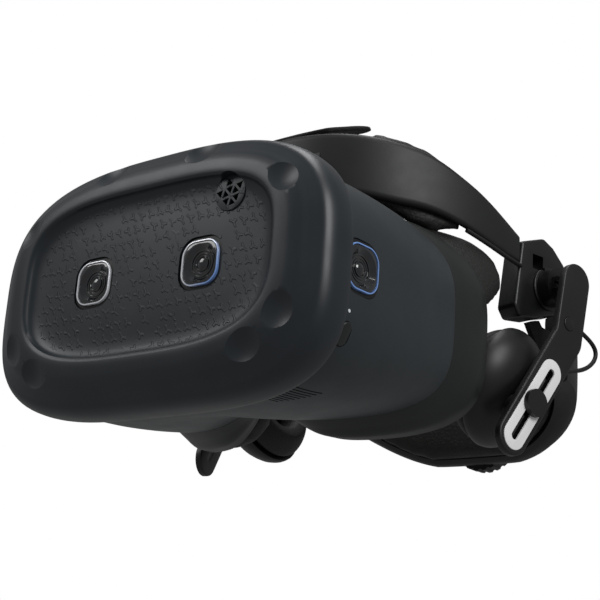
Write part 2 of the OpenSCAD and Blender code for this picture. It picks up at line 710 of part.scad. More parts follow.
module pivot_block(s) {
  color("#111315") at_arm(s) difference() {
    union() {
      plate(-hub_l - 2 - 13, 13) polygon([[-21, -19.5], [-25, -14], [-20, 22], [-3, 28], [4.5, 24.5],
        [13.5, 16.5], [13, 0], [9, -12], [-1, -15], [-9, -18]]);
      plate(-hub_l - 2.1, 1.4) circle(hub_r + 1.6);
    }
    // well for the lead and seat for the hub's shaft
    translate([-hub_l - 16, -12, 9]) cube([18, 8, 8]);
    translate([-hub_l - 12, 0, 0]) rotate([0, 90, 0]) cylinder(r = shaft_r + run_gap, h = 14);
  }
}

// Axis of the joint that lets an arm swing outwards, inside the arm
flip_x = -6;

module hub(s) {
  color("#1d2023") at_arm(s) {
    translate([-hub_l - 0.4, 0, 0]) rotate([0, 90, 0]) cylinder(r = hub_r, h = hub_l - 9);
    translate([-hub_l - 11, 0, 0]) rotate([0, 90, 0]) cylinder(r = shaft_r, h = 12);
    // two ears that hold the arm's pin
    for (y = [-7, 4]) difference() {
      union() {
        translate([-9.8, y, -3]) cube([9.8 + flip_x, 3, 6]);
        translate([flip_x, y, 0]) rotate([-90, 0, 0]) cylinder(r = 3, h = 3);
      }
      translate([flip_x, y - 1, 0]) rotate([-90, 0, 0]) cylinder(r = 1.5, h = 5);
    }
  }
}

inlay_r = 7;

module arm(s) {
  color("#1d2023") at_arm(s) {
    difference() {
      union() {
        plate(-arm_t / 2, arm_t) {
          bar([0, 0], arm_bend, arm_w / 2, 0.04);
          bar(arm_bend, arm_end, arm_w / 2, 0.04);
        }
        color("#f2f3f4") plate(0, arm_t / 2 + 0.3) bar(slot_top, arm_end, inlay_r, 0.04);
        plate(0, arm_t / 2 + 0.4) translate([-6.3, -24.2]) circle(3.6);
      }
      plate(-arm_t, 2 * arm_t) bar(slot_top, arm_end, slot_w / 2, 0.04);
    }
    translate([flip_x, -3.7, -2.7]) cube([-flip_x, 7.4, 5.4]);
    translate([flip_x, -3.7, 0]) rotate([-90, 0, 0]) cylinder(r = 2.8, h = 7.4);
    translate([flip_x, -7, 0]) rotate([-90, 0, 0]) cylinder(r = 1.5 - run_gap, h = 14);
  }
}

module slide_knob(s) {
  color("#1d2023") at_arm(s) translate([0, slot_mid[0], slot_mid[1]]) {
    translate([arm_t / 2 + 0.5, 0, 0]) rotate([0, 90, 0]) cylinder(r = slide_r, h = 2.6);
    translate([-arm_t / 2 - 3.2, 0, 0]) rotate([0, 90, 0]) cylinder(r = slot_w / 2 - 0.1, h = arm_t + 4);
    translate([-arm_t / 2 - 3.2, 0, 0]) rotate([0, 90, 0]) cylinder(r = 6, h = 3);
    translate([-ball_in, 0, 0]) rotate([0, 90, 0]) cylinder(r = 2.2, h = 8);
    translate([-ball_in, 0, 0]) rotate([0, 90, 0]) sphere(ball_r);
  }
}

module at_cup(s) {
  at_arm(s) translate([-ball_in, slot_mid[0], slot_mid[1]]) rotate([0, 0, cup_yaw]) rotate([0, cup_tilt, 0])
    children();
}

// Turned parts of the cup: axis along X, profile radius against depth inwards
module cup_turn() {
  translate([0, cup_back, cup_up]) rotate([0, -90, 0]) rotate_extrude($fn = 64) children();
}

module ear_cup(s) {
  color("#1d2023") at_cup(s) difference() {
    union() {
      cup_turn() polygon([[0, -1.6], [9, -1.2], [16, 0.4], [22, 3.2], [27, 7.2], [cup_r - 0.8, 12], [cup_r, 15],
        [cup_r, cup_depth + 3], [cup_r - 2, cup_depth + 3], [cup_r - 2.6, 13], [24, 8.6], [15, 3.4], [8, 2.4],
        [0, 2.2]]);
      translate([-8, 0, 0]) rotate([0, 90, 0]) cylinder(r = 7.6, h = 9.4);
    }
    rotate([0, 90, 0]) sphere(ball_r + run_gap);
    translate([1, 0, 0]) rotate([0, 90, 0]) cylinder(r = 4.7, h = 3);
  }
}

module speaker(s) {
  color("#2c2f33") at_cup(s) cup_turn() polygon([[0, 9.4], [14, 9.4], [15, 13], [cup_r - 3, 13.6],
    [cup_r - 3, cup_depth + 2.4], [18, cup_depth + 2.4], [12, cup_depth - 0.2], [0, cup_depth + 1.6]]);
}

module ear_pad(s) {
  color("#1a1b1c") at_cup(s) cup_turn() translate([0, cup_depth + 3 + gap]) polygon([
    [12.5, 1.5], [13, 0], [cup_r - 1.5, 0], [cup_r - 1.7, 3], [cup_r - 3.3, 7], [cup_r - 6.2, 10.6],
    [cup_r - 9.6, ear_pad_t], [19, ear_pad_t], [15, 11], [13, 7]]);
}

/* ---- leads ---- */

lead_band = [[76.2, 50.3, 56.3], [79.4, 58, 54], [82.2, 67, 51.6], [84.2, 77, 49.5], [85.4, 86, 48.5], [85.8, 90.1, 48.3]];
lead_ear = [[89.4, 123.3, 33.6], [92.6, 133, 29.4], [95.4, 144, 24.6], [96.8, 152, 21.6], [97.4, 156.6, 17.6],
  [97.4, 154.6, 12], [97, 147, 6.4], [96.6, 138, 2.6], [96, 128, 0], [94.4, 119, -3], [90.5, 110.7, -6.9]];

// Round tube through points: rings square to the mean direction at each one
module tube(pts, r) {
  n = 8;
  last = len(pts) - 1;
  skin([for (i = [0 : last])
    let (d = pts[min(last, i + 1)] - pts[max(0, i - 1)],
         u0 = cross(d, [0, 0.3, 1]), u = u0 / norm(u0), v0 = cross(u, d), v = v0 / norm(v0))
    [for (k = [0 : n - 1]) pts[i] + r * cos(k * 360 / n) * u + r * sin(k * 360 / n) * v]]);
}

module lead(s) {
  color("#0c0d0e") sided(s) {
    tube(lead_band, lead_d / 2);
    tube(lead_ear, lead_d / 2);
  }
}

faceplate();
vent_grille();
front_bezel(1);  // front_bezel_left
front_bezel(-1);  // front_bezel_right
front_camera(1);  // front_camera_left
front_camera(-1);  // front_camera_right
main_housing();
side_bezel(1);  // side_bezel_left
side_bezel(-1);  // side_bezel_right
side_camera(1);  // side_camera_left
side_camera(-1);  // side_camera_right
headset_button();
status_light();
main_board();
heat_sink();
fan_frame();
fan_impeller();
optics_tray();
guide_rods();
lens_barrel(1);  // lens_barrel_left
lens_barrel(-1);  // lens_barrel_right
eye_lens(1);  // eye_lens_left
eye_lens(-1);  // eye_lens_right
display(1);  // display_left
display(-1);  // display_right
spacing_knob();
audio_socket();
cable_gland();
face_frame();
face_cushion();
visor_hinge();
front_band();
hinge_bracket();
hinge_pin();
forehead_pad();
strap_anchor();
side_strap(1);  // side_strap_left
side_strap(-1);  // side_strap_right
pivot_block(1);  // pivot_block_left
pivot_block(-1);  // pivot_block_right
rear_cradle();
rear_pad();
fitting_dial();
rack(1);  // rack_left
rack(-1);  // rack_right
hub(1);  // hub_left
hub(-1);  // hub_right
arm(1);  // arm_left
arm(-1);  // arm_right
slide_knob(1);  // slide_knob_left
slide_knob(-1);  // slide_knob_right
ear_cup(1);  // ear_cup_left
ear_cup(-1);  // ear_cup_right
ear_pad(1);  // ear_pad_left
ear_pad(-1);  // ear_pad_right
speaker(1);  // speaker_left
speaker(-1);  // speaker_right
lead(1);  // lead_left
lead(-1);  // lead_right
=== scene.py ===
import math

import bpy
from mathutils import Matrix, Vector


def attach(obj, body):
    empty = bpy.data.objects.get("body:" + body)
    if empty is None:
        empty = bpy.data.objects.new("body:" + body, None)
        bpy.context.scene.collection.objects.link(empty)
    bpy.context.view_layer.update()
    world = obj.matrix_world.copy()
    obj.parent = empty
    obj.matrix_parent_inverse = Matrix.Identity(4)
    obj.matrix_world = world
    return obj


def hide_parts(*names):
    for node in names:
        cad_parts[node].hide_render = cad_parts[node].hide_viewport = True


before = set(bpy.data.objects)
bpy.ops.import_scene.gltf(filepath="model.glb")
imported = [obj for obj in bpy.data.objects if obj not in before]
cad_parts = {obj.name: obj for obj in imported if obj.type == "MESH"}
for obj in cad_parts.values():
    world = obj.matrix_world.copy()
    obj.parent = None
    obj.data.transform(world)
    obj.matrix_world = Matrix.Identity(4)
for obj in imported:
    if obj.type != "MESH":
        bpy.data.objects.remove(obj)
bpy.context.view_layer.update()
bpy.ops.object.select_all(action="DESELECT")
print("stage: frame loaded")

# Camera, from the photograph's viewing angle
shot = {"target": (41.55, -36.92, -1.08), "azimuth": 38.0, "elevation": -17.3, "roll": 3.9,
        "distance": 589.8, "lens": 77.94}


def aimCamera(s):
    az, el, ro = (math.radians(s[k]) for k in ("azimuth", "elevation", "roll"))
    back = Vector((math.sin(az) * math.cos(el), -math.cos(az) * math.cos(el), math.sin(el)))
    side = Vector((math.cos(az), math.sin(az), 0))
    up = back.cross(side)
    right = side * math.cos(ro) + up * math.sin(ro)
    top = up * math.cos(ro) - side * math.sin(ro)
    place = (Vector(s["target"]) + back * s["distance"]) * 0.001
    turn = Matrix((right, top, back)).transposed().to_4x4()
    cam = bpy.data.objects.new("camera", bpy.data.cameras.new("camera"))
    bpy.context.scene.collection.objects.link(cam)
    cam.matrix_world = Matrix.Translation(place) @ turn
    cam.data.lens = s["lens"]
    cam.data.clip_start = 0.01
    bpy.context.scene.camera = cam


aimCamera(shot)


# Small helpers. Lengths are millimetres until a mesh is made.
def pick(obj):
    bpy.ops.object.select_all(action="DESELECT")
    obj.select_set(True)
    bpy.context.view_layer.objects.active = obj


def finishModifiers(obj):
    pick(obj)
    for m in list(obj.modifiers):
        bpy.ops.object.modifier_apply(modifier=m.name)


def meshFrom(name, verts, faces):
    me = bpy.data.meshes.new(name)
    me.from_pydata([Vector(v) * 0.001 for v in verts], [], faces)
    me.validate()
    obj = bpy.data.objects.new(name, me)
    bpy.context.scene.collection.objects.link(obj)
    return obj


def outwards(obj):
    pick(obj)
    bpy.ops.object.mode_set(mode="EDIT")
    bpy.ops.mesh.select_all(action="SELECT")
    bpy.ops.mesh.remove_doubles(threshold=1e-6)
    bpy.ops.mesh.normals_make_consistent(inside=False)
    bpy.ops.object.mode_set(mode="OBJECT")


def smooth(obj, angle=35):
    pick(obj)
    bpy.ops.object.shade_smooth_by_angle(angle=math.radians(angle))


# Leads: thin cables from the band into each pivot block, and on in a loop to the ear cup
lead = {"d": 2.4,
        "band": ((76.2, 50.3, 56.3), (79.4, 58, 54), (82.2, 67, 51.6), (84.2, 77, 49.5), (85.4, 86, 48.5),
                 (85.8, 90.1, 48.3)),
        "ear": ((89.4, 123.3, 33.6), (92.6, 133, 29.4), (95.4, 144, 24.6), (96.8, 152, 21.6),
                (97.4, 156.6, 17.6), (97.4, 154.6, 12), (97, 147, 6.4), (96.6, 138, 2.6), (96, 128, 0),
                (94.4, 119, -3), (90.5, 110.7, -6.9))}


def makeLead(name, points, side, body):
    path = [(side * x * 0.001, y * 0.001, z * 0.001) for x, y, z in points]
    line = bpy.data.curves.new(name, "CURVE")
    line.dimensions = "3D"
    line.bevel_depth = lead["d"] / 2 * 0.001
    line.bevel_resolution = 4
    line.resolution_u = 8
    line.use_fill_caps = True
    run = line.splines.new("NURBS")
    run.points.add(len(path) - 1)
    for p, q in zip(run.points, path):
        p.co = (*q, 1)
    run.use_endpoint_u = True
    run.order_u = 4
    length = run.calc_length()
    obj = bpy.data.objects.new(name, line)
    bpy.context.scene.collection.objects.link(obj)
    pick(obj)
    bpy.ops.object.convert(target="MESH")
    obj = bpy.context.active_object
    outwards(obj)
    smooth(obj, 60)
    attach(obj, body)
    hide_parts("lead_left" if side > 0 else "lead_right")
    print("lead", name, round(length * 1000, 1), "mm")
    return obj


leads = [makeLead(part + "Lead" + word, lead[part], side, "halo")
         for side, word in ((1, "Left"), (-1, "Right")) for part in ("band", "ear")]
print("stage: leads")


def loft(name, rings, closed=True, angle=35):
    # skin through rings of points, closed into a loop or capped at both ends
    m, k = len(rings[0]), len(rings)
    faces = []
    for i in range(k if closed else k - 1):
        for j in range(m):
            a, b = i * m + j, i * m + (j + 1) % m
            i2 = (i + 1) % k
            faces.append((a, b, i2 * m + (j + 1) % m, i2 * m + j))
    if not closed:
        faces.append(tuple(range(m)))
        faces.append(tuple((k - 1) * m + j for j in range(m)))
    obj = meshFrom(name, [p for r in rings for p in r], faces)
    outwards(obj)
    smooth(obj, angle)
    return obj


def moved(obj, matrix):
    m = matrix.copy()
    m.translation = m.translation * 0.001
    obj.data.transform(m)
    if m.determinant() < 0:
        obj.data.flip_normals()
    return obj


def prism(name, points, low, high, bevel=0.6, place=None, segments=3):
    # flat outline raised between two heights
    obj = meshFrom(name, [(p[0], p[1], low) for p in points], [tuple(range(len(points)))])
    pick(obj)
    bpy.ops.object.mode_set(mode="EDIT")
    bpy.ops.mesh.select_all(action="SELECT")
    bpy.ops.mesh.extrude_region_move(TRANSFORM_OT_translate={"value": (0, 0, (high - low) * 0.001)})
    bpy.ops.mesh.select_all(action="SELECT")
    bpy.ops.mesh.normals_make_consistent(inside=False)
    bpy.ops.object.mode_set(mode="OBJECT")
    if bevel:
        m = obj.modifiers.new("edge", "BEVEL")
        m.width = bevel * 0.001
        m.segments = segments
        m.limit_method = "ANGLE"
        m.angle_limit = math.radians(40)
        finishModifiers(obj)
    if place is not None:
        moved(obj, place)
    smooth(obj)
    return obj


def turned(name, profile, steps=96, place=None, angle=35):
    # profile of radius and height, spun about Z
    turn = [2 * math.pi * i / steps for i in range(steps)]
    obj = loft(name, [[(r * math.cos(t), r * math.sin(t), h) for t in turn] for r, h in profile], angle=angle)
    if place is not None:
        moved(obj, place)
    return obj


def boolean(obj, tool, kind):
    m = obj.modifiers.new("shape", "BOOLEAN")
    m.operation = kind
    m.solver = "EXACT"
    m.object = tool
    finishModifiers(obj)
    bpy.data.objects.remove(tool, do_unlink=True)


def cut(obj, *tools):
    for t in tools:
        boolean(obj, t, "DIFFERENCE")
    return obj


def curveBetween(table, x):
    # smooth value from a table of x and y
    n = len(table)
    if x <= table[0][0]:
        return table[0][1]
    if x >= table[-1][0]:
        return table[-1][1]
    slope = [(table[i + 1][1] - table[i][1]) / (table[i + 1][0] - table[i][0]) for i in range(n - 1)]
    tangent = [slope[0]] + [0 if slope[i - 1] * slope[i] <= 0 else 2 / (1 / slope[i - 1] + 1 / slope[i])
                            for i in range(1, n - 1)] + [slope[-1]]
    i = max(j for j in range(n - 1) if table[j][0] <= x)
    h = table[i + 1][0] - table[i][0]
    t = (x - table[i][0]) / h
    return ((2 * t ** 3 - 3 * t * t + 1) * table[i][1] + (t ** 3 - 2 * t * t + t) * h * tangent[i]
            + (3 * t * t - 2 * t ** 3) * table[i + 1][1] + (t ** 3 - t * t) * h * tangent[i + 1])


def ease(t):
    u = min(1, max(0, t))
    return u * u * (3 - 2 * u)


def armOutline(centre, points, radius, steps=96):
    # outline of a round-ended bar through points, as seen from centre, in even steps
    def depth(p):
        best = 1e9
        for a, b in zip(points, points[1:]):
            a, b = Vector(a), Vector(b)
            t = max(0, min(1, (p - a).dot(b - a) / (b - a).length_squared))
            best = min(best, (p - a - (b - a) * t).length)
        return best - radius
    c = Vector(centre)
    far = []
    for i in range(steps * 8):
        d = Vector((math.cos(i * math.pi / steps / 4), math.sin(i * math.pi / steps / 4)))
        lo, hi = 0.0, 200.0
        for _ in range(40):
            mid = (lo + hi) / 2
            lo, hi = (mid, hi) if depth(c + d * mid) < 0 else (lo, mid)
        far.append(c + d * lo)
    total = sum((far[i] - far[i - 1]).length for i in range(len(far)))
    out, run = [], 0
    for i in range(len(far)):
        run += (far[i] - far[i - 1]).length
        if run >= total / steps:
            out.append(tuple(far[i]))
            run -= total / steps
    return out


def circlePoints(x, y, r, n=48):
    turn = [2 * math.pi * i / n for i in range(n)]
    return [(x + r * math.cos(a), y + r * math.sin(a)) for a in turn]


def ovalPoints(x, y, length, width, n=16):
    h, r = (length - width) / 2, width / 2
    turn = [math.pi * i / n for i in range(n + 1)]
    top = [(x + r * math.cos(a), y + h + r * math.sin(a)) for a in turn]
    return top + [(x + r * math.cos(math.pi + a), y - h + r * math.sin(math.pi + a)) for a in turn]


def roundSquare(size, r, n=10):
    h = size / 2 - r
    return [(sx * h + r * math.cos(a), sy * h + r * math.sin(a))
            for sx, sy, start in ((1, 1, 0), (-1, 1, 90), (-1, -1, 180), (1, -1, 270))
            for a in [math.radians(start + 90 * i / n) for i in range(n + 1)]]


# An outline's own X and Y become: across and up, seen from the front; back and up, seen from the side
faceFront = Matrix(((1, 0, 0, 0), (0, 0, 1, 0), (0, 1, 0, 0), (0, 0, 0, 1)))
faceSide = Matrix(((0, 0, 1, 0), (1, 0, 0, 0), (0, 1, 0, 0), (0, 0, 0, 1)))
mirrorX = Matrix.Diagonal((-1, 1, 1, 1))


def twin(obj, name):
    # mirrored copy with its own mesh
    c = obj.copy()
    c.data = obj.data.copy()
    c.name = name
    bpy.context.scene.collection.objects.link(c)
    c.data.transform(mirrorX)
    c.data.flip_normals()
    return c


# A shader value that can be added, multiplied and so on
class Flow:
    def __init__(self, tree, out):
        self.tree, self.out = tree, out

    def op(self, kind, other=0.0, third=0.0):
        n = self.tree.nodes.new("ShaderNodeMath")
        n.operation = kind
        for i, v in enumerate((self, other, third)):
            if isinstance(v, Flow):
                self.tree.links.new(v.out, n.inputs[i])
            else:
                n.inputs[i].default_value = v
        return Flow(self.tree, n.outputs[0])

    def __add__(self, v):
        return self.op("ADD", v)

    def __sub__(self, v):
        return self.op("SUBTRACT", v)

    def __mul__(self, v):
        return self.op("MULTIPLY", v)

    def __rsub__(self, v):
        return self * -1 + v

    __radd__ = __add__
    __rmul__ = __mul__

    def step(self, lo, hi):
        n = self.tree.nodes.new("ShaderNodeMapRange")
        n.interpolation_type = "SMOOTHSTEP"
        n.inputs["From Min"].default_value = lo
        n.inputs["From Max"].default_value = hi
        self.tree.links.new(self.out, n.inputs["Value"])
        return Flow(self.tree, n.outputs["Result"])


# One surface finish, built on the Principled shader
class Finish:
    def __init__(self, name, color, rough, metal=0.0, coat=0.0, coatRough=0.1):
        self.mat = bpy.data.materials.new(name)
        self.mat.use_nodes = True
        self.tree = self.mat.node_tree
        self.shader = self.tree.nodes["Principled BSDF"]
        self.color = (*color, 1)
        self.shader.inputs["Base Color"].default_value = self.color
        self.shader.inputs["Roughness"].default_value = rough
        self.shader.inputs["Metallic"].default_value = metal
        self.shader.inputs["Coat Weight"].default_value = coat
        self.shader.inputs["Coat Roughness"].default_value = coatRough
        self.mat.diffuse_color = self.color
        self.place = self.tree.nodes.new("ShaderNodeTexCoord").outputs["Object"]
        self.heights = []

    def noise(self, scale, detail=3.0, stretch=None):
        n = self.tree.nodes.new("ShaderNodeTexNoise")
        n.inputs["Scale"].default_value = scale
        n.inputs["Detail"].default_value = detail
        self.feed(n, stretch)
        return Flow(self.tree, n.outputs["Fac"])

    def cells(self, scale):
        n = self.tree.nodes.new("ShaderNodeTexVoronoi")
        n.feature = "DISTANCE_TO_EDGE"
        n.inputs["Scale"].default_value = scale
        self.feed(n)
        return Flow(self.tree, n.outputs["Distance"])

    def waves(self, scale, direction):
        n = self.tree.nodes.new("ShaderNodeTexWave")
        n.bands_direction = direction
        n.inputs["Scale"].default_value = scale
        self.feed(n)
        return Flow(self.tree, n.outputs["Fac"])

    def feed(self, node, stretch=None):
        if stretch is None:
            self.tree.links.new(self.place, node.inputs["Vector"])
            return
        m = self.tree.nodes.new("ShaderNodeMapping")
        m.inputs["Scale"].default_value = stretch
        self.tree.links.new(self.place, m.inputs["Vector"])
        self.tree.links.new(m.outputs["Vector"], node.inputs["Vector"])

    def axis(self, name):
        n = self.tree.nodes.new("ShaderNodeSeparateXYZ")
        self.tree.links.new(self.place, n.inputs["Vector"])
        return Flow(self.tree, n.outputs[name])

    def tint(self, factor, other):
        mix = self.tree.nodes.new("ShaderNodeMix")
        mix.data_type = "RGBA"
        base = self.shader.inputs["Base Color"]
        if base.links:
            self.tree.links.new(base.links[0].from_socket, mix.inputs["A"])
        else:
            mix.inputs["A"].default_value = self.color
        mix.inputs["B"].default_value = (*other, 1)
        self.tree.links.new(factor.out, mix.inputs["Factor"])
        self.tree.links.new(mix.outputs["Result"], base)
        return self

    def rough(self, flow):
        self.tree.links.new(flow.out, self.shader.inputs["Roughness"])
        return self

    def bump(self, flow, distance, strength=1.0):
        b = self.tree.nodes.new("ShaderNodeBump")
        b.inputs["Distance"].default_value = distance
        b.inputs["Strength"].default_value = strength
        self.tree.links.new(flow.out, b.inputs["Height"])
        normal = self.shader.inputs["Normal"]
        if normal.links:
            self.tree.links.new(normal.links[0].from_socket, b.inputs["Normal"])
        self.tree.links.new(b.outputs["Normal"], normal)
        return self


def moulded(name, color, rough, coat=0.0, grain=1400, depth=0.00002, lighter=1.25):
    # fine-grained moulding with faint handling marks
    f = Finish(name, color, rough, coat=coat, coatRough=0.25)
    smudge = f.noise(38, 4)
    f.tint(smudge.step(0.35, 0.8) * 0.5, [min(1, c * lighter + 0.004) for c in color])
    f.rough(f.noise(90, 3) * 0.12 + (rough - 0.06))
    f.bump(f.noise(grain, 2), depth)
    return f


def woven(name, color, scale, depth):
    # plain weave with slubs
    f = Finish(name, color, 0.85)
    a = f.waves(scale, "X")
    b = f.waves(scale, "Z")
    f.tint((a * b).step(0.2, 0.9) * 0.6, [c * 1.7 + 0.01 for c in color])
    f.tint(f.noise(60, 4).step(0.4, 0.75) * 0.35, [c * 0.6 for c in color])
    f.bump(a * b, depth)
    f.rough(f.noise(200, 2) * 0.15 + 0.76)
    return f


def leathery(name, color, scale=420, depth=0.00012):
    # soft coated foam with a pebbled grain
    f = Finish(name, color, 0.62)
    pebbles = f.cells(scale)
    f.bump(pebbles.step(0.0, 0.35), depth)
    f.tint(pebbles.step(0.0, 0.2) * -0.5 + 0.5, [c * 0.6 for c in color])
    f.tint(f.noise(30, 4).step(0.4, 0.8) * 0.4, [c * 1.4 + 0.004 for c in color])
    f.rough(f.noise(120, 3) * 0.2 + 0.5)
    return f


finishes = {
    "cover": moulded("coverFinish", (0.0125, 0.0175, 0.0225), 0.38, grain=1600, depth=0.000012),
    "shell": moulded("shellFinish", (0.018, 0.0245, 0.029), 0.42, grain=1500, depth=0.000014),
    "frame": moulded("frameFinish", (0.0075, 0.0088, 0.0092), 0.42),
    "black": moulded("blackFinish", (0.0035, 0.0038, 0.004), 0.5),
    "band": moulded("bandFinish", (0.0042, 0.0044, 0.0048), 0.5, grain=900, depth=0.00002),
    "arm": moulded("armFinish", (0.0045, 0.0046, 0.0048), 0.42, grain=1200, depth=0.000015),
    "block": moulded("blockFinish", (0.0048, 0.005, 0.0052), 0.36, grain=1200, depth=0.000015),
    "rubber": moulded("rubberFinish", (0.003, 0.003, 0.0032), 0.6, grain=700, depth=0.00004),
    "cushion": leathery("cushionFinish", (0.0062, 0.0062, 0.0055)),
    "earPad": leathery("earPadFinish", (0.004, 0.004, 0.004), 520, 0.0001),
    "strap": woven("strapFinish", (0.005, 0.005, 0.0055), 260, 0.00012),
    "inlay": moulded("inlayFinish", (0.95, 0.95, 0.95), 0.4, coat=0.2, lighter=1.02),
    "board": moulded("boardFinish", (0.02, 0.11, 0.05), 0.45, coat=0.3, grain=500),
    "alloy": Finish("alloyFinish", (0.55, 0.57, 0.6), 0.35, metal=1.0),
    "steel": Finish("steelFinish", (0.6, 0.6, 0.62), 0.28, metal=1.0),
    "light": Finish("lightFinish", (0.8, 0.85, 0.9), 0.3, coat=0.5),
    "screen": Finish("screenFinish", (0.004, 0.004, 0.006), 0.15, coat=0.6),
    # darkest finish, used for the painted shade disc behind the vent grille
    "dark": moulded("darkFinish", (0.0015, 0.0015, 0.0018), 0.7),
}
for key in ("alloy", "steel"):
    f = finishes[key]
    f.rough(f.noise(60, 3, (1, 30, 1)) * 0.25 + 0.2)
    f.bump(f.noise(400, 2, (1, 20, 1)), 0.00001)
finishes["light"].rough(finishes["light"].noise(300) * 0.1 + 0.2)
finishes["screen"].rough(finishes["screen"].noise(200) * 0.05 + 0.12)

bezel = Finish("bezelFinish", (0.9, 0.92, 0.97), 0.3, metal=0.25, coat=0.6)
# painted blue glow: rims with larger X and lower Z are tinted blue by where they sit
bezel.tint((bezel.axis("X") * 30 - bezel.axis("Z") * 22).step(0.8, 1.4) * 0.85, (0.12, 0.34, 0.9))
bezel.rough(bezel.noise(500, 2) * 0.12 + 0.18)
finishes["bezel"] = bezel

glassy = Finish("cameraGlassFinish", (0.006, 0.007, 0.009), 0.12, coat=1.0, coatRough=0.03)
glassy.tint(glassy.noise(300, 2).step(0.4, 0.8) * 0.5, (0.012, 0.018, 0.03))
glassy.rough(glassy.noise(900, 2) * 0.06 + 0.08)
finishes["glass"] = glassy

clear = Finish("eyeLensFinish", (0.75, 0.82, 0.85), 0.05)
clear.shader.inputs["Transmission Weight"].default_value = 0.9
clear.rough(clear.noise(80) * 0.03 + 0.03)
finishes["lens"] = clear

# Floor of the recess: small three-armed marks, each in its own cell and turned its own way
motif = moulded("recessFinish", (0.0125, 0.0175, 0.0225), 0.40, grain=1600, depth=0.000012)
marks = {"pitch": 5.4, "arm": 0.42, "width": 0.085}


def scatterMarks(f, m, shift):
    # height of the marks: one to a cell of a sheared grid
    k = 1000 / m["pitch"]
    u = f.axis("X") * k + f.axis("Z") * (k * 0.5) + (40 + shift)
    v = f.axis("Z") * (k * 0.866) + (40 + shift * 1.7)
    iu, iv = u.op("FLOOR"), v.op("FLOOR")
    join = f.tree.nodes.new("ShaderNodeCombineXYZ")
    f.tree.links.new(iu.out, join.inputs[0])
    f.tree.links.new(iv.out, join.inputs[1])
    chance = f.tree.nodes.new("ShaderNodeTexWhiteNoise")
    f.tree.links.new(join.outputs[0], chance.inputs["Vector"])
    random = Flow(f.tree, chance.outputs["Value"])
    x, y = u - iu - 0.5, v - iv - 0.5
    turn = (y.op("ARCTAN2", x) + random * 6.283) * (3 / 6.283) + 10
    wedge = ((turn - turn.op("FLOOR")) - 0.5) * (6.283 / 3)
    reach = (x * x + y * y).op("SQRT")
    along = reach * wedge.op("COSINE")
    across = (reach * wedge.op("SINE")).op("ABSOLUTE")
    thin = 1 - across.step(m["width"] * 0.6, m["width"] * 1.5)
    short = 1 - along.step(m["arm"] * 0.85, m["arm"])
    return thin * short * random.step(0.12, 0.2)


raised = scatterMarks(motif, marks, 0.0)
motif.bump(raised, 0.0003, 1.0)
motif.tint(raised * 0.6, (0.030, 0.037, 0.044))
finishes["recess"] = motif


def dress(obj, finish, *more):
    obj.data.materials.clear()
    for f in (finish,) + more:
        obj.data.materials.append(finishes[f].mat)
    return obj


def place(obj, body, slot, *nodes):
    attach(obj, body)
    if nodes:
        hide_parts(*nodes)
    return obj


# Solids that show as they are, by finish
cadFinish = {
    "light": ("status_light",),
    "board": ("main_board",),
    "alloy": ("heat_sink", "rack_left", "rack_right"),
    "black": ("fan_frame", "fan_impeller", "optics_tray", "lens_barrel_left", "lens_barrel_right",
              "audio_socket"),
    "steel": ("guide_rods", "hinge_pin"),
    "lens": ("eye_lens_left", "eye_lens_right"),
    "screen": ("display_left", "display_right"),
    "frame": ("spacing_knob", "visor_hinge"),
    "rubber": ("cable_gland",),
    "band": ("hinge_bracket", "speaker_left", "speaker_right", "fitting_dial"),
    "block": ("hub_left", "hub_right"),
    "arm": ("slide_knob_left", "slide_knob_right"),
    "strap": ("side_strap_left", "side_strap_right"),
}
for key, names in cadFinish.items():
    for name in names:
        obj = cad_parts[name]
        if not obj.material_slots:
            obj.data.materials.append(finishes[key].mat)
        for held in obj.material_slots:
            held.material = finishes[key].mat
for cord in leads:
    cord.data.materials.append(finishes["rubber"].mat)
print("stage: finishes")

# Visor shells
visor = {"depth": 96, "halfWidth": 98, "top": 59.6, "bottom": 61, "wall": 2.4, "steps": 224,
         "recess": (73, 38.9, 37.2), "cameraGap": 64, "surround": 24, "vent": (46, 29.4, 16.4),
         "dimples": ((23, 0.42), (-20, 0.4), (-35, 0.42), (66, 0.72)), "dimpleWidth": 17, "dimpleDepth": 2,
         "profile": ((0, 0.7), (0.05, 0.1), (0.12, 0), (0.3, 0.4), (0.5, 2), (0.66, 4.4), (0.78, 6.2),
                     (0.86, 7.4), (0.92, 9.2), (0.97, 12), (0.995, 15.5), (1, 18.6)),
         "dishRows": (0.03, 0.15, 0.3, 0.45, 0.6, 0.72, 0.8, 0.85, 0.88, 0.905, 0.925, 0.94, 0.955, 0.97,
                      0.982, 0.992),
         "dish": ((0, -0.6), (0.5, -0.4), (0.8, 0), (0.9, -0.3), (0.955, -1.1), (0.985, -2.3), (1, -3.9))}
front = -visor["depth"]
ridge = front - 3.6
floorY = front + 1
seamHalf = 88.5


def outline(a, w, top, bottom, nTop, nBottom):
    n = nTop if math.sin(a) >= 0 else nBottom
    mid, h = (top - bottom) / 2, (top + bottom) / 2
    r = (abs(math.cos(a) / w) ** n + abs(math.sin(a) / h) ** n) ** (-1 / n)
    return Vector((r * math.cos(a), mid + r * math.sin(a)))


def around(steps):
    quarter = steps // 4
    return [math.radians(90 * q + 90 * (i / quarter)) for q in range(4) for i in range(quarter)]


angles = around(visor["steps"])


def coverEdges(a):
    return (outline(a, *visor["recess"], 3.5, 3.2),
            outline(a, visor["halfWidth"], visor["top"], visor["bottom"], 2.9, 3.6))


def coverRing(s, y, k=1.0):
    out = []
    for a in angles:
        p, q = coverEdges(a)
        c = p * k + (q - p) * s
        out.append((c[0], y, c[1]))
    return out


def ring(w, top, bottom, y, wrap=0, nose=0, nTop=2.8, nBottom=4, steps=None):
    out = []
    for a in (angles if steps is None else around(steps)):
        p = outline(a, w, top, bottom, nTop, nBottom)
        up = 0 if math.sin(a) >= 0 else nose * math.exp(-(p[0] / 19) ** 2) * math.sin(a) ** 2
        out.append((p[0], y + wrap * (p[0] / seamHalf) ** 2, p[1] + up))
    return out


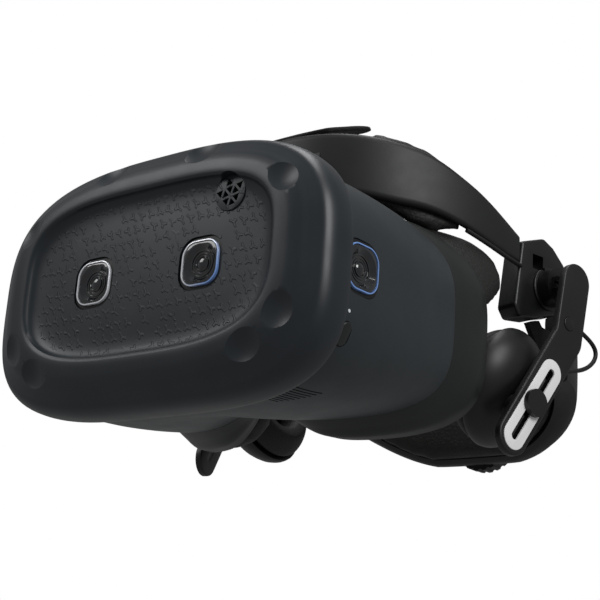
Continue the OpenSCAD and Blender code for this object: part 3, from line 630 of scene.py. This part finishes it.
def ribsBetween(ribs, count):
    # rows of ring numbers, smoothly between the given ones
    rows = []
    for i in range(count):
        t = (len(ribs) - 1) * i / (count - 1)
        rows.append([curveBetween([(j, r[c]) for j, r in enumerate(ribs)], t) for c in range(len(ribs[0]))])
    return rows


def dimpleBall(angle, s, side):
    # ball that presses one dimple into the cover, at a share s of its rim
    v = visor
    radius = ((v["dimpleWidth"] / 2) ** 2 + v["dimpleDepth"] ** 2) / (2 * v["dimpleDepth"])
    p, q = coverEdges(math.radians(angle))
    d = (q - p).normalized()
    rise = curveBetween(v["profile"], s + 0.03) - curveBetween(v["profile"], s - 0.03)
    slope = rise / 0.06 / (q - p).length
    n = Vector((slope * d[0], -1, slope * d[1])).normalized()
    c = p + (q - p) * s
    c = Vector((c[0], ridge + curveBetween(v["profile"], s), c[1])) + n * (radius - v["dimpleDepth"])
    bpy.ops.mesh.primitive_ico_sphere_add(subdivisions=6, radius=radius * 0.001,
                                          location=Vector((side * c[0], c[1], c[2])) * 0.001)
    bpy.ops.object.transform_apply(location=True)
    return bpy.context.active_object


def makeCover():
    v = visor
    rows = [coverRing(0, floorY + curveBetween(v["dish"], k), k) for k in v["dishRows"]]
    count = 46
    for i in range(count):
        s = (i / (count - 1)) ** 1.15
        s = 1 - (1 - s) ** 1.7
        rows.append(coverRing(s, ridge + curveBetween(v["profile"], s)))
    # back edge, then the inside of the rim and the back of the floor
    w = v["wall"] / 26
    for s, y in ((0.997, front + 17.5), (0.988, front + 19.4), (0.982, front + 20),
                 (0.992 - w, front + 20), (0.988 - w, front + 19.4), (1 - w, front + 13), (0.86, ridge + 13),
                 (0.7, ridge + 10), (0.5, ridge + 7.4), (0.15, floorY + v["wall"] + 0.6)):
        rows.append(coverRing(s, y))
    for k, y in ((0.98, 0.2), (0.5, 0), (0.03, -0.4)):
        rows.append(coverRing(0, floorY + v["wall"] + y, k))
    obj = loft("coverShell", rows, closed=False)
    tools = []
    for s in (-1, 1):
        t = prism("hole", roundSquare(v["surround"] + 0.2, 8.6), front - 8, front + 12, 0, faceFront)
        tools.append(moved(t, Matrix.Translation((s * v["cameraGap"] / 2, 0, 0))))
    ventX, ventZ, ventWidth = v["vent"]
    ventHole = circlePoints(ventX, ventZ, ventWidth / 2 + 0.15)
    tools.append(prism("hole", ventHole, front - 8, front + 12, 0, faceFront))
    tools += [dimpleBall(angle, s, side) for side in (1, -1) for angle, s in v["dimples"]]
    cut(obj, *tools)
    smooth(obj, 32)
    dress(obj, "cover", "recess")
    for f in obj.data.polygons:
        c = f.center * 1000
        edge = outline(math.atan2(c[2], c[0]), *v["recess"], 3.5, 3.2).length
        if math.hypot(c[0], c[2]) < edge * 0.93 and c[1] < floorY + 0.5 and f.normal.y < -0.7:
            f.material_index = 1
    return place(obj, "visor", "cover", "faceplate")


makeCover()
print("stage: cover")


def makeVent():
    # round grille of triangular openings, with a near-black disc behind it as painted shade seen through the
    # openings
    x0, z0, width = visor["vent"]
    grille = prism("ventGrille", circlePoints(0, 0, width / 2, 96), floorY - 0.7, floorY + 2, 0.25, faceFront)
    side, bar, lean = 5.5, 1.0, math.radians(12)
    r = side / 1.732 - bar
    tools = []
    for i, j, up in [(i, j, up) for i in range(-3, 4) for j in range(-3, 4) for up in (1, -1)]:
        cx = (i + j / 2 + (0.5 if up > 0 else 1.0)) * side - side
        cy = (j + (1 / 3 if up > 0 else 2 / 3)) * side * 0.866 - side * 0.3
        if math.hypot(cx, cy) > width / 2 - 2.1:
            continue
        corners = [math.radians(90 * up + 120 * n) for n in range(3)]
        pts = [(cx + r * math.cos(a), cy + r * math.sin(a)) for a in corners]
        pts = [(x * math.cos(lean) - y * math.sin(lean), x * math.sin(lean) + y * math.cos(lean))
               for x, y in pts]
        tools.append(prism("slot", pts, floorY - 4, floorY + 5, 0, faceFront))
    cut(grille, *tools)
    # near-black disc just behind the openings: painted shade inside the vent
    shadeBacking = prism("ventShadeBacking", circlePoints(0, 0, width / 2 - 0.2, 64), floorY + 3.2, floorY + 4, 0,
                    faceFront)
    for o, finish in ((grille, "recess"), (shadeBacking, "dark")):
        moved(o, Matrix.Translation((x0, 0, z0)))
        smooth(o)
        dress(o, finish)
        place(o, "visor", "black", "vent_grille")


makeVent()

camera = {"surround": (24, 8.5), "rim": (20.4, 6.9), "glass": (19.2, 6.3),
          "funnel": ((0.05, -4), (9.1, -4), (8.6, -0.55), (6.6, 1.3), (0.05, 1.3)),
          "lens": ((0.05, 2), (6.9, 2), (6.9, 1.25), (6.2, 1.25), (6.1, 0.9), (5.7, 0.9), (5.5, 1.5),
                   (4.9, 1.5), (4.7, 1.05), (4.3, 1.05), (4.1, 1.5), (3.7, 1.5), (3.5, 0.8), (3.1, 0.8),
                   (2.9, 1.1), (2.5, 0.75), (1.9, 0.45), (1.2, 0.25), (0.6, 0.16), (0.05, 0.14))}


def makeCamera(name, seat, node):
    # black surround, thin bright rim, and glass with its stepped lens
    c = camera
    surround = prism(name + "Surround", roundSquare(*c["surround"]), 0.35, 4, 0.3, seat)
    cut(surround, prism("hole", roundSquare(c["rim"][0] + 0.1, c["rim"][1]), -6, 12, 0, seat))
    rim = prism(name + "Rim", roundSquare(*c["rim"]), -0.9, 4, 0.15, seat)
    cut(rim, prism("hole", roundSquare(*c["glass"]), -6, 12, 0, seat))
    glass = prism(name + "Glass", roundSquare(c["glass"][0] - 0.04, c["glass"][1]), -0.6, 3.6, 0.5, seat)
    cut(glass, turned("hole", c["funnel"], 96, seat))
    lens = turned(name + "Lens", c["lens"], 96, seat)
    for o, finish, slot in ((surround, "black", "bezel"), (rim, "bezel", "bezel"),
                            (glass, "glass", "camera_glass"), (lens, "glass", "camera_glass")):
        smooth(o)
        dress(o, finish)
        kind = "_bezel_" if slot == "bezel" else "_camera_"
        place(o, "visor", slot, node[0] + kind + node[1])


sideSeat = Matrix.Translation((94.5, front + 31.6, -2.5)) @ Matrix.Rotation(math.radians(86), 4, "Z")
for sign, word in ((1, "left"), (-1, "right")):
    frontSeat = Matrix.Translation((sign * visor["cameraGap"] / 2, floorY, 0))
    makeCamera("frontCamera" + word, frontSeat @ faceFront, ("front", word))
    flip = Matrix.Identity(4) if sign > 0 else mirrorX
    makeCamera("sideCamera" + word, flip @ sideSeat @ faceFront, ("side", word))
print("stage: cameras")

housing = {"ribs": ((94.2, 54.4, 56, front + 14, 0, 0, 3.3), (94.4, 54.6, 56.2, front + 20.6, 0, 0, 3.4),
                    (94.8, 56.2, 56, front + 36, 0, 0, 3.8), (94.2, 57.4, 55, front + 56, 4, 2, 4),
                    (92.4, 57.8, 53, front + 72, 14, 4, 4), (seamHalf, 57, 50, front + 86, 31, 7, 4)),
           "wall": 2.6, "button": (90.9, front + 26.2, -31.8, 26), "oval": (10.6, 6.6),
           "light": (front + 25.4, -22.5), "slots": 9, "slotAt": (50.2, front + 27.4, -64)}


def shellRow(r, inset=0.0):
    return ring(r[0] - inset, r[1] - inset, r[2] - inset, r[3], r[4], r[5], 2.8, r[6])


def makeHousing():
    h = housing
    rows = ribsBetween(h["ribs"], 34)
    rings = [shellRow(r) for r in rows]
    # small lip at the seam, then the inner wall
    last = list(h["ribs"][-1])
    rings.append(shellRow([last[0] - 0.5, last[1] - 0.5, last[2] - 0.5, last[3] + 0.15] + last[4:]))
    rings += [shellRow(r, h["wall"]) for r in reversed(ribsBetween(h["ribs"], 12))]
    obj = loft("housingShell", rings)
    # openings for the side cameras, lower slots, button, light, socket, cable and knob
    tools = []
    t = prism("hole", roundSquare(camera["surround"][0] + 0.2, 8.6), -8, 18, 0, sideSeat @ faceFront)
    tools += [t, twin(t, "hole")]
    slotX, slotY, slotZ = h["slotAt"]
    lean = Matrix.Rotation(math.radians(-10.5), 4, "Z")
    for i in range(h["slots"]):
        long = 8.6 + 1.15 * i
        slot = prism("slot", ovalPoints(0, long / 2, long, 0.85, 6), 0, 24, 0)
        moved(slot, Matrix.Translation((slotX + 2.0 * i, slotY - 0.25 * i, slotZ)) @ lean)
        tools += [slot, twin(slot, "slot")]
    x, y, z, tilt = h["button"]
    seat = Matrix.Translation((x, y, z)) @ Matrix.Rotation(math.radians(tilt), 4, "Y") @ faceSide
    tools.append(prism("hole", ovalPoints(0, 0, h["oval"][0] + 0.5, h["oval"][1] + 0.5), -10, 10, 0, seat))
    tools.append(prism("hole", circlePoints(*h["light"], 0.8, 20), 84, 104, 0, faceSide))
    tools.append(prism("hole", circlePoints(-44, front + 50, 3.35), 47, 68, 0))
    gland = prism("hole", circlePoints(0, 0, 4.4), -10, 10, 0)
    moved(gland, Matrix.Translation((-66, front + 50, 50)) @ Matrix.Rotation(math.radians(-38), 4, "Y"))
    tools.append(gland)
    tools.append(prism("hole", circlePoints(-47, -40, 9), -100, -70, 0, faceSide))
    cut(obj, *tools)
    smooth(obj, 32)
    dress(obj, "shell")
    button = prism("headsetButton", ovalPoints(0, 0, *h["oval"], 24), -3.2, 0.45, 0.6, seat, 4)
    dress(button, "frame")
    place(button, "button", "frame", "headset_button")
    return place(obj, "visor", "shell", "main_housing")


makeHousing()
print("stage: housing")

# Face rim, then the cushion on it
rimShape = {"ribs": ((seamHalf - 0.2, 57, 50, front + 86.3, 31, 7), (90, 59.6, 53, front + 92, 34, 12),
                     (90.6, 61, 56, front + 98, 38, 19), (89.6, 61, 56, front + 103.4, 41.6, 26),
                     (87.6, 59.4, 54.6, front + 104, 42, 26)),
            "inner": ((82, 54, 48.6, front + 103.6, 42, 26), (81, 53.4, 47.2, front + 98, 38, 22),
                      (84.6, 53, 46, front + 86.3, 31, 9))}


def makeRim():
    rows = [list(r) + [4] for r in ribsBetween(rimShape["ribs"][:4], 22)] + [list(rimShape["ribs"][4]) + [4]]
    rows += [list(r) + [4] for r in rimShape["inner"]]
    obj = loft("faceRim", [shellRow(r) for r in rows])
    dress(obj, "frame")
    return place(obj, "visor", "frame", "face_frame")


makeRim()


def puff(obj, voxel=0.005, pressure=4.0, cap=0.004):
    # short cloth run that fills a pad, held close to its shape
    pick(obj)
    m = obj.modifiers.new("even", "REMESH")
    m.mode = "VOXEL"
    m.voxel_size = voxel
    finishModifiers(obj)
    start = [v.co.copy() for v in obj.data.vertices]
    cloth = obj.modifiers.new("fill", "CLOTH")
    cloth.settings.use_pressure = True
    cloth.settings.uniform_pressure_force = pressure
    cloth.settings.effector_weights.gravity = 0
    scene = bpy.context.scene
    for i in range(1, 15):
        scene.frame_set(i)
    finishModifiers(obj)
    scene.frame_set(1)
    for v, p in zip(obj.data.vertices, start):
        d = v.co - p
        if d.length > cap:
            v.co = p + d.normalized() * cap
    sub = obj.modifiers.new("fine", "SUBSURF")
    sub.levels = sub.render_levels = 1
    soft = obj.modifiers.new("soft", "SMOOTH")
    soft.iterations = 4
    soft.factor = 0.6
    finishModifiers(obj)
    pick(obj)
    bpy.ops.object.shade_smooth()


def temple(z):
    return ease((z - 6) / 26)


def cushionRing(w, top, bottom, k):
    out = []
    for p in ring(w, top, bottom, front + 104.3, 42, 26, 2.8 + 3 * k, 4, steps=160):
        f = min(1, abs(p[0] / 80) ** 2.5)
        deep = 13 * (1 - f) + f * (3 + 29 * temple(p[2]))
        out.append((p[0] - math.copysign(k * k * 1.6 * temple(p[2]), p[0]), p[1] + k * deep,
                    p[2] + k * 3 * temple(p[2]) * min(1, (p[0] / 70) ** 4)))
    return out


cushionSections = ((86.6, 58.6, 53.6, 0), (87, 59, 54.2, 0.15), (87, 59, 54.2, 0.4),
                   (86.8, 58.8, 53.8, 0.65), (85.6, 57.6, 52.8, 0.86), (84, 56.2, 51.4, 0.97),
                   (82, 54.6, 49.6, 1), (79.8, 52.6, 47.4, 0.94), (78.2, 50.8, 45.6, 0.8),
                   (77.6, 50, 45, 0.6), (77.4, 49.8, 44.8, 0.3), (82.6, 54, 48.6, 0))


def makeCushion():
    obj = loft("faceCushion", [cushionRing(*s) for s in cushionSections])
    puff(obj, 0.0038, 3.0, 0.0012)
    dress(obj, "cushion")
    return place(obj, "visor", "cushion", "face_cushion")


makeCushion()
print("stage: cushion")

# Head band, forehead pad and top flap
halo = {"halfWidth": 85, "front": -8, "centre": 94, "thick": 4, "pad": 9}


def bandPlan(a, inset):
    length = halo["centre"] - halo["front"] - inset
    return ((halo["halfWidth"] - inset) * math.sin(a), halo["centre"] - length * math.cos(a))


def bandTop(y):
    return 100 - 10 * ease((y + 8) / 60) - 26 * ease((y - 24) / 80)


def bandLow(y):
    return 68 - 5 * ease((y + 8) / 30) - 13 * ease((y - 20) / 70)


def bandSection(a, inset, thick, rise, drop, crown, rows=14, edge=1.6):
    # rounded section of the band, crowned on its outside
    c = bandPlan(a, 0)
    hi, lo = bandTop(c[1]) + rise, bandLow(c[1]) - drop
    out = []
    for i in range(rows + 1):
        t = i / rows
        z = lo + (hi - lo) * (0.5 - 0.5 * math.cos(math.pi * t))
        e = max(0.0, 1 - min(z - lo, hi - z) / edge)
        x, y = bandPlan(a, inset + crown * (2 * t - 1) ** 2 + thick * 0.45 * e * e)
        out.append((x, y, z))
    for i in range(rows + 1):
        t = 1 - i / rows
        z = lo + (hi - lo) * (0.5 - 0.5 * math.cos(math.pi * t))
        e = max(0.0, 1 - min(z - lo, hi - z) / edge)
        x, y = bandPlan(a, inset + thick - thick * 0.45 * e * e)
        out.append((x, y, z))
    return out


def makeBand():
    steps = [math.radians(-88 + 2 * i) for i in range(89)]
    rings = [bandSection(a, 0, halo["thick"], 0, 0, 0.7) for a in steps]
    obj = loft("haloBand", rings, closed=False, angle=60)
    dress(obj, "band")
    place(obj, "halo", "band", "front_band")
    # the pad is thickest in front, leaves room for the flap's seat and hangs lower at the temples
    rings = []
    for a in [math.radians(-70 + 2.5 * i) for i in range(57)]:
        away = abs(math.degrees(a))
        full = ease((70 - away) / 18)
        middle = ease((34 - away) / 10)
        temples = ease((away - 38) / 14) * full
        thick = 1.3 + (halo["pad"] - 1.5) * full
        up, down = 6 * full - 1 - 8 * middle, 4 * full - 1 + 5 * temples
        rings.append(bandSection(a, halo["thick"] + 0.5, thick, up, down, 0.1, edge=3))
    pad = loft("foreheadPad", rings, closed=False, angle=60)
    puff(pad, 0.0032, 3.0, 0.001)
    dress(pad, "cushion")
    place(pad, "halo", "cushion", "forehead_pad")


makeBand()


def makeFlap():
    # rows of depth, height and half-width
    rows = ((-1.5, 100.2, 24), (1.5, 101.7, 25), (5, 103.2, 26), (12, 106, 27.6), (20, 109.6, 28.6),
            (28, 112.6, 29.2), (35, 114.6, 29.4))
    rings = []
    for y, z, w in rows:
        topEdge = [(x * w / 10, y - 1.5 + 0.02 * (10 - abs(x)), z + 2.2 + 0.8 * (1 - (x / 10) ** 2))
                   for x in range(-10, 11)]
        lowEdge = [(x * w / 10, y + 0.1, z + 0.1 + 0.7 * (1 - (x / 10) ** 2)) for x in range(10, -11, -1)]
        rings.append(topEdge + lowEdge)
    obj = loft("topFlap", rings, closed=False, angle=50)
    m = obj.modifiers.new("fine", "SUBSURF")
    m.levels = m.render_levels = 2
    finishModifiers(obj)
    dress(obj, "strap")
    place(obj, "halo", "strap", "strap_anchor")


makeFlap()
print("stage: band")

# Rear cradle
cradle = {"halfWidth": 92, "back": 208, "centre": 104, "thick": 12, "reach": 70, "dial": (204, -13, 21)}


def cradlePlan(a, inset):
    w, d, n = cradle["halfWidth"] - inset, cradle["back"] - cradle["centre"] - inset, 2.6
    r = (abs(math.sin(a) / w) ** n + abs(math.cos(a) / d) ** n) ** (-1 / n)
    return (r * math.sin(a), cradle["centre"] + r * math.cos(a))


def cradleTop(y):
    return 34 - 8 * ease((y - 140) / 60)


def cradleLow(y):
    return -4 - 27 * min(1, max(0, (y - 140) / 66)) ** 2.2


def cradleSection(a, inset, thick, trim, crown, rows=14, edge=2.4):
    c = cradlePlan(a, 0)
    hi, lo = cradleTop(c[1]) - trim, cradleLow(c[1]) + trim
    out = []
    for side in (0, 1):
        for i in range(rows + 1):
            t = i / rows if side == 0 else 1 - i / rows
            z = lo + (hi - lo) * (0.5 - 0.5 * math.cos(math.pi * t))
            e = max(0.0, 1 - min(z - lo, hi - z) / edge)
            outer = inset + crown * (2 * t - 1) ** 2 + thick * 0.3 * e * e
            depth = outer if side == 0 else inset + thick - thick * 0.3 * e * e
            out.append((*cradlePlan(a, depth), z))
    return out


def makeCradle():
    steps = [math.radians(-cradle["reach"] + 2 * i) for i in range(71)]
    rings = [cradleSection(a, 0, cradle["thick"], 0, 0.8) for a in steps]
    obj = loft("rearCradle", rings, closed=False, angle=60)
    # room for the racks, the dial's shaft, the dial and the straps
    tools = [prism("well", [(-46, -24), (46, -24), (46, -2), (-46, -2)], 199, 204, 0, faceFront)]
    tools.append(prism("well", circlePoints(0, cradle["dial"][1], 3.05), 198.4, 220, 0, faceFront))
    tools.append(prism("well", circlePoints(0, cradle["dial"][1], 21.8, 96), 203.4, 226, 0, faceFront))
    strapX = cradle["halfWidth"] - 12.4
    slot = [(130, 7.6), (164, 7.6), (164, 24.4), (130, 24.4)]
    box = prism("well", slot, strapX - 0.4, strapX + 3.2, 0, faceSide)
    tools += [box, twin(box, "well")]
    cut(obj, *tools)
    smooth(obj, 40)
    dress(obj, "band")
    place(obj, "cradle", "band", "rear_cradle")
    rings = []
    for i in range(45):
        deg = -55 + 2.5 * i
        e = ease((55 - abs(deg)) / 14)
        inset = cradle["thick"] + 0.5
        rings.append(cradleSection(math.radians(deg), inset, 1.8 + 7 * e, 2.4 - e, 0.1, edge=3.4))
    pad = loft("rearPad", rings, closed=False, angle=60)
    puff(pad, 0.0036, 3.0, 0.001)
    dress(pad, "cushion")
    place(pad, "cradle", "cushion", "rear_pad")


makeCradle()
print("stage: cradle")

# Pivot blocks, arms and ear cups
ear = {"at": (108, 107, 41), "yaw": -15, "bend": (-6, -32), "end": (-45.2, -88.5), "slotTop": (-19.5, -52.6),
       "width": 19.4, "thick": 4, "slot": 4.2, "inlay": 7, "hub": 16, "ball": 11, "cupR": 31, "cupDepth": 14,
       "cupYaw": 15, "cupTilt": 20, "cupUp": 8, "cupBack": 8.5, "pin": (-6.3, -24.2)}
armPlace = Matrix.Translation(ear["at"]) @ Matrix.Rotation(math.radians(ear["yaw"]), 4, "Z")
slotMid = (Vector(ear["slotTop"]) + Vector(ear["end"])) / 2
cupPlace = (armPlace @ Matrix.Translation((-ear["ball"], slotMid[0], slotMid[1]))
            @ Matrix.Rotation(math.radians(ear["cupYaw"]), 4, "Z")
            @ Matrix.Rotation(math.radians(ear["cupTilt"]), 4, "Y"))
cupTurn = (cupPlace @ Matrix.Translation((0, ear["cupBack"], ear["cupUp"]))
           @ Matrix.Rotation(math.radians(-90), 4, "Y"))


def pair(obj, name, finish, body, slot, node):
    # a left piece and its mirrored twin, each for its own node
    other = twin(obj, name + "Right")
    for o, side in ((obj, "left"), (other, "right")):
        dress(o, finish)
        place(o, body if body == "halo" else side + "_" + body, slot, node + "_" + side)


def makeBlocks():
    shape = [(-21, -19.5), (-25, -14), (-20, 22), (-3, 28), (4.5, 24.5), (13.5, 16.5), (13, 0), (9, -12),
             (-1, -15), (-9, -18)]
    seat = armPlace @ faceSide
    hub = -ear["hub"]
    obj = prism("pivotBlockLeft", shape, hub - 15, hub - 2, 1.6, seat, 4)
    collar = prism("collar", circlePoints(0, 0, 11.6, 64), hub - 2.4, hub - 0.7, 0.5, seat)
    well = prism("well", [(-12, 9), (-4, 9), (-4, 17), (-12, 17)], hub - 17, 2, 0, seat)
    shaft = prism("well", circlePoints(0, 0, 4.05), hub - 12, 2, 0, seat)
    boolean(obj, collar, "UNION")
    cut(obj, well, shaft)
    smooth(obj)
    pair(obj, "pivotBlock", "block", "halo", "frame", "pivot_block")


makeBlocks()


def makeArms():
    e = ear
    seat = armPlace @ faceSide
    half = e["thick"] / 2
    groove = [e["slotTop"], e["end"]]

    def slotBar(name, radius, steps, low, high, bevel=0):
        return prism(name, armOutline(tuple(slotMid), groove, radius, steps), low, high, bevel, seat)

    plate = prism("armLeft", armOutline(e["bend"], [(0, 0), e["bend"], e["end"]], e["width"] / 2, 140),
                  -half, half, 0.9, seat, 4)
    cut(plate, slotBar("groove", e["inlay"] + 0.25, 100, half - 0.7, half + 2),
        slotBar("groove", e["slot"] / 2, 80, -9, 9),
        prism("groove", circlePoints(*e["pin"], 3.8), half - 0.5, half + 2, 0, seat))
    lug = [(-3.7, -2.8), (3.7, -2.8), (3.7, 2.8), (-3.7, 2.8)]
    boolean(plate, prism("lug", lug, -6, -half + 0.2, 0.3, seat), "UNION")
    smooth(plate)
    pair(plate, "arm", "arm", "arm", "arm", "arm")
    inlay = slotBar("inlayLeft", e["inlay"], 120, half - 0.7, half + 0.25, 0.25)
    cut(inlay, slotBar("hole", e["slot"] / 2, 80, -9, 9))
    smooth(inlay)
    pair(inlay, "inlay", "inlay", "arm", "arm", "arm")
    pin = prism("pinLeft", circlePoints(*e["pin"], 3.6), half - 0.5, half + 0.4, 0.3, seat)
    pair(pin, "pin", "block", "arm", "arm", "arm")


makeArms()
print("stage: arms")


def makeCups():
    e = ear
    r, d = e["cupR"], e["cupDepth"]
    shell = ((0.4, -1.6), (4, -1.5), (9, -1.2), (13, -0.6), (16, 0.4), (19, 1.6), (22, 3.2), (25, 5.2),
             (27, 7.2), (29, 9.6), (30.2, 12), (30.8, 13.6), (r, 15), (r, d + 2.4), (r - 0.4, d + 3),
             (r - 2, d + 3), (r - 2.6, 13), (24, 8.6), (15, 3.4), (8, 2.4), (0.4, 2.2))
    cup = turned("earCupLeft", shell, 128, cupTurn)
    boss = ((0.3, -8), (7.2, -8), (7.6, -7.6), (7.6, 0.9), (7.1, 1.4), (0.3, 1.4))
    across = cupPlace @ Matrix.Rotation(math.radians(90), 4, "Y")
    boolean(cup, turned("boss", boss, 64, across), "UNION")
    bpy.ops.mesh.primitive_uv_sphere_add(segments=48, ring_count=24, radius=0.00465)
    cut(cup, moved(bpy.context.active_object, cupPlace))
    smooth(cup, 40)
    pair(cup, "earCup", "arm", "cup", "arm", "ear_cup")
    start = d + 3.3
    foam = [(12.5, 1.5), (13, 0), (r - 1.5, 0), (r - 1.6, 3), (r - 2.3, 5), (r - 3.3, 7), (r - 4.6, 9),
            (r - 6.2, 10.8), (r - 8, 12.4), (r - 9.6, 13), (20.5, 13), (18, 12.6), (16, 11.8), (14.4, 10),
            (13.4, 7), (12.8, 4)]
    pad = turned("earPadLeft", [(a, start + b) for a, b in foam], 96, cupTurn)
    m = pad.modifiers.new("fine", "SUBSURF")
    m.levels = m.render_levels = 1
    finishModifiers(pad)
    for o, side in ((pad, "left"), (twin(pad, "earPadRight"), "right")):
        dress(o, "earPad")
        place(o, side + "_cup", "rubber", "ear_pad_" + side)


makeCups()

# Lights and plain white surroundings
studio = {"world": 0.24}


def makeStudio():
    world = bpy.data.worlds.new("studio")
    bpy.context.scene.world = world
    world.use_nodes = True
    t = world.node_tree
    t.nodes.clear()
    out = t.nodes.new("ShaderNodeOutputWorld")
    light = t.nodes.new("ShaderNodeBackground")
    light.inputs["Color"].default_value = (1, 1, 1, 1)
    light.inputs["Strength"].default_value = studio["world"]
    seen = t.nodes.new("ShaderNodeBackground")
    seen.inputs["Color"].default_value = (1, 1, 1, 1)
    seen.inputs["Strength"].default_value = 1.0
    path = t.nodes.new("ShaderNodeLightPath")
    mix = t.nodes.new("ShaderNodeMixShader")
    t.links.new(path.outputs["Is Camera Ray"], mix.inputs["Fac"])
    t.links.new(light.outputs[0], mix.inputs[1])
    t.links.new(seen.outputs[0], mix.inputs[2])
    t.links.new(mix.outputs[0], out.inputs["Surface"])


makeStudio()


def softLight(name, at, look, size, power):
    lamp = bpy.data.lights.new(name, "AREA")
    lamp.shape = "RECTANGLE"
    lamp.size, lamp.size_y = size
    lamp.energy = power
    obj = bpy.data.objects.new(name, lamp)
    bpy.context.scene.collection.objects.link(obj)
    obj.location = at
    obj.rotation_euler = (Vector(look) - Vector(at)).to_track_quat("-Z", "Y").to_euler()


softLight("keyLeft", (-0.9, -1.1, 1.1), (0, -0.05, 0), (0.9, 0.9), 8)
softLight("fillRight", (1.25, -0.4, 0.7), (0.05, 0, 0.02), (0.6, 0.7), 10)
softLight("topStrip", (0.1, 0.1, 1.3), (0, 0, 0), (1.2, 0.4), 6)
scene = bpy.context.scene
scene.view_settings.view_transform = "Standard"

print("stage: done")
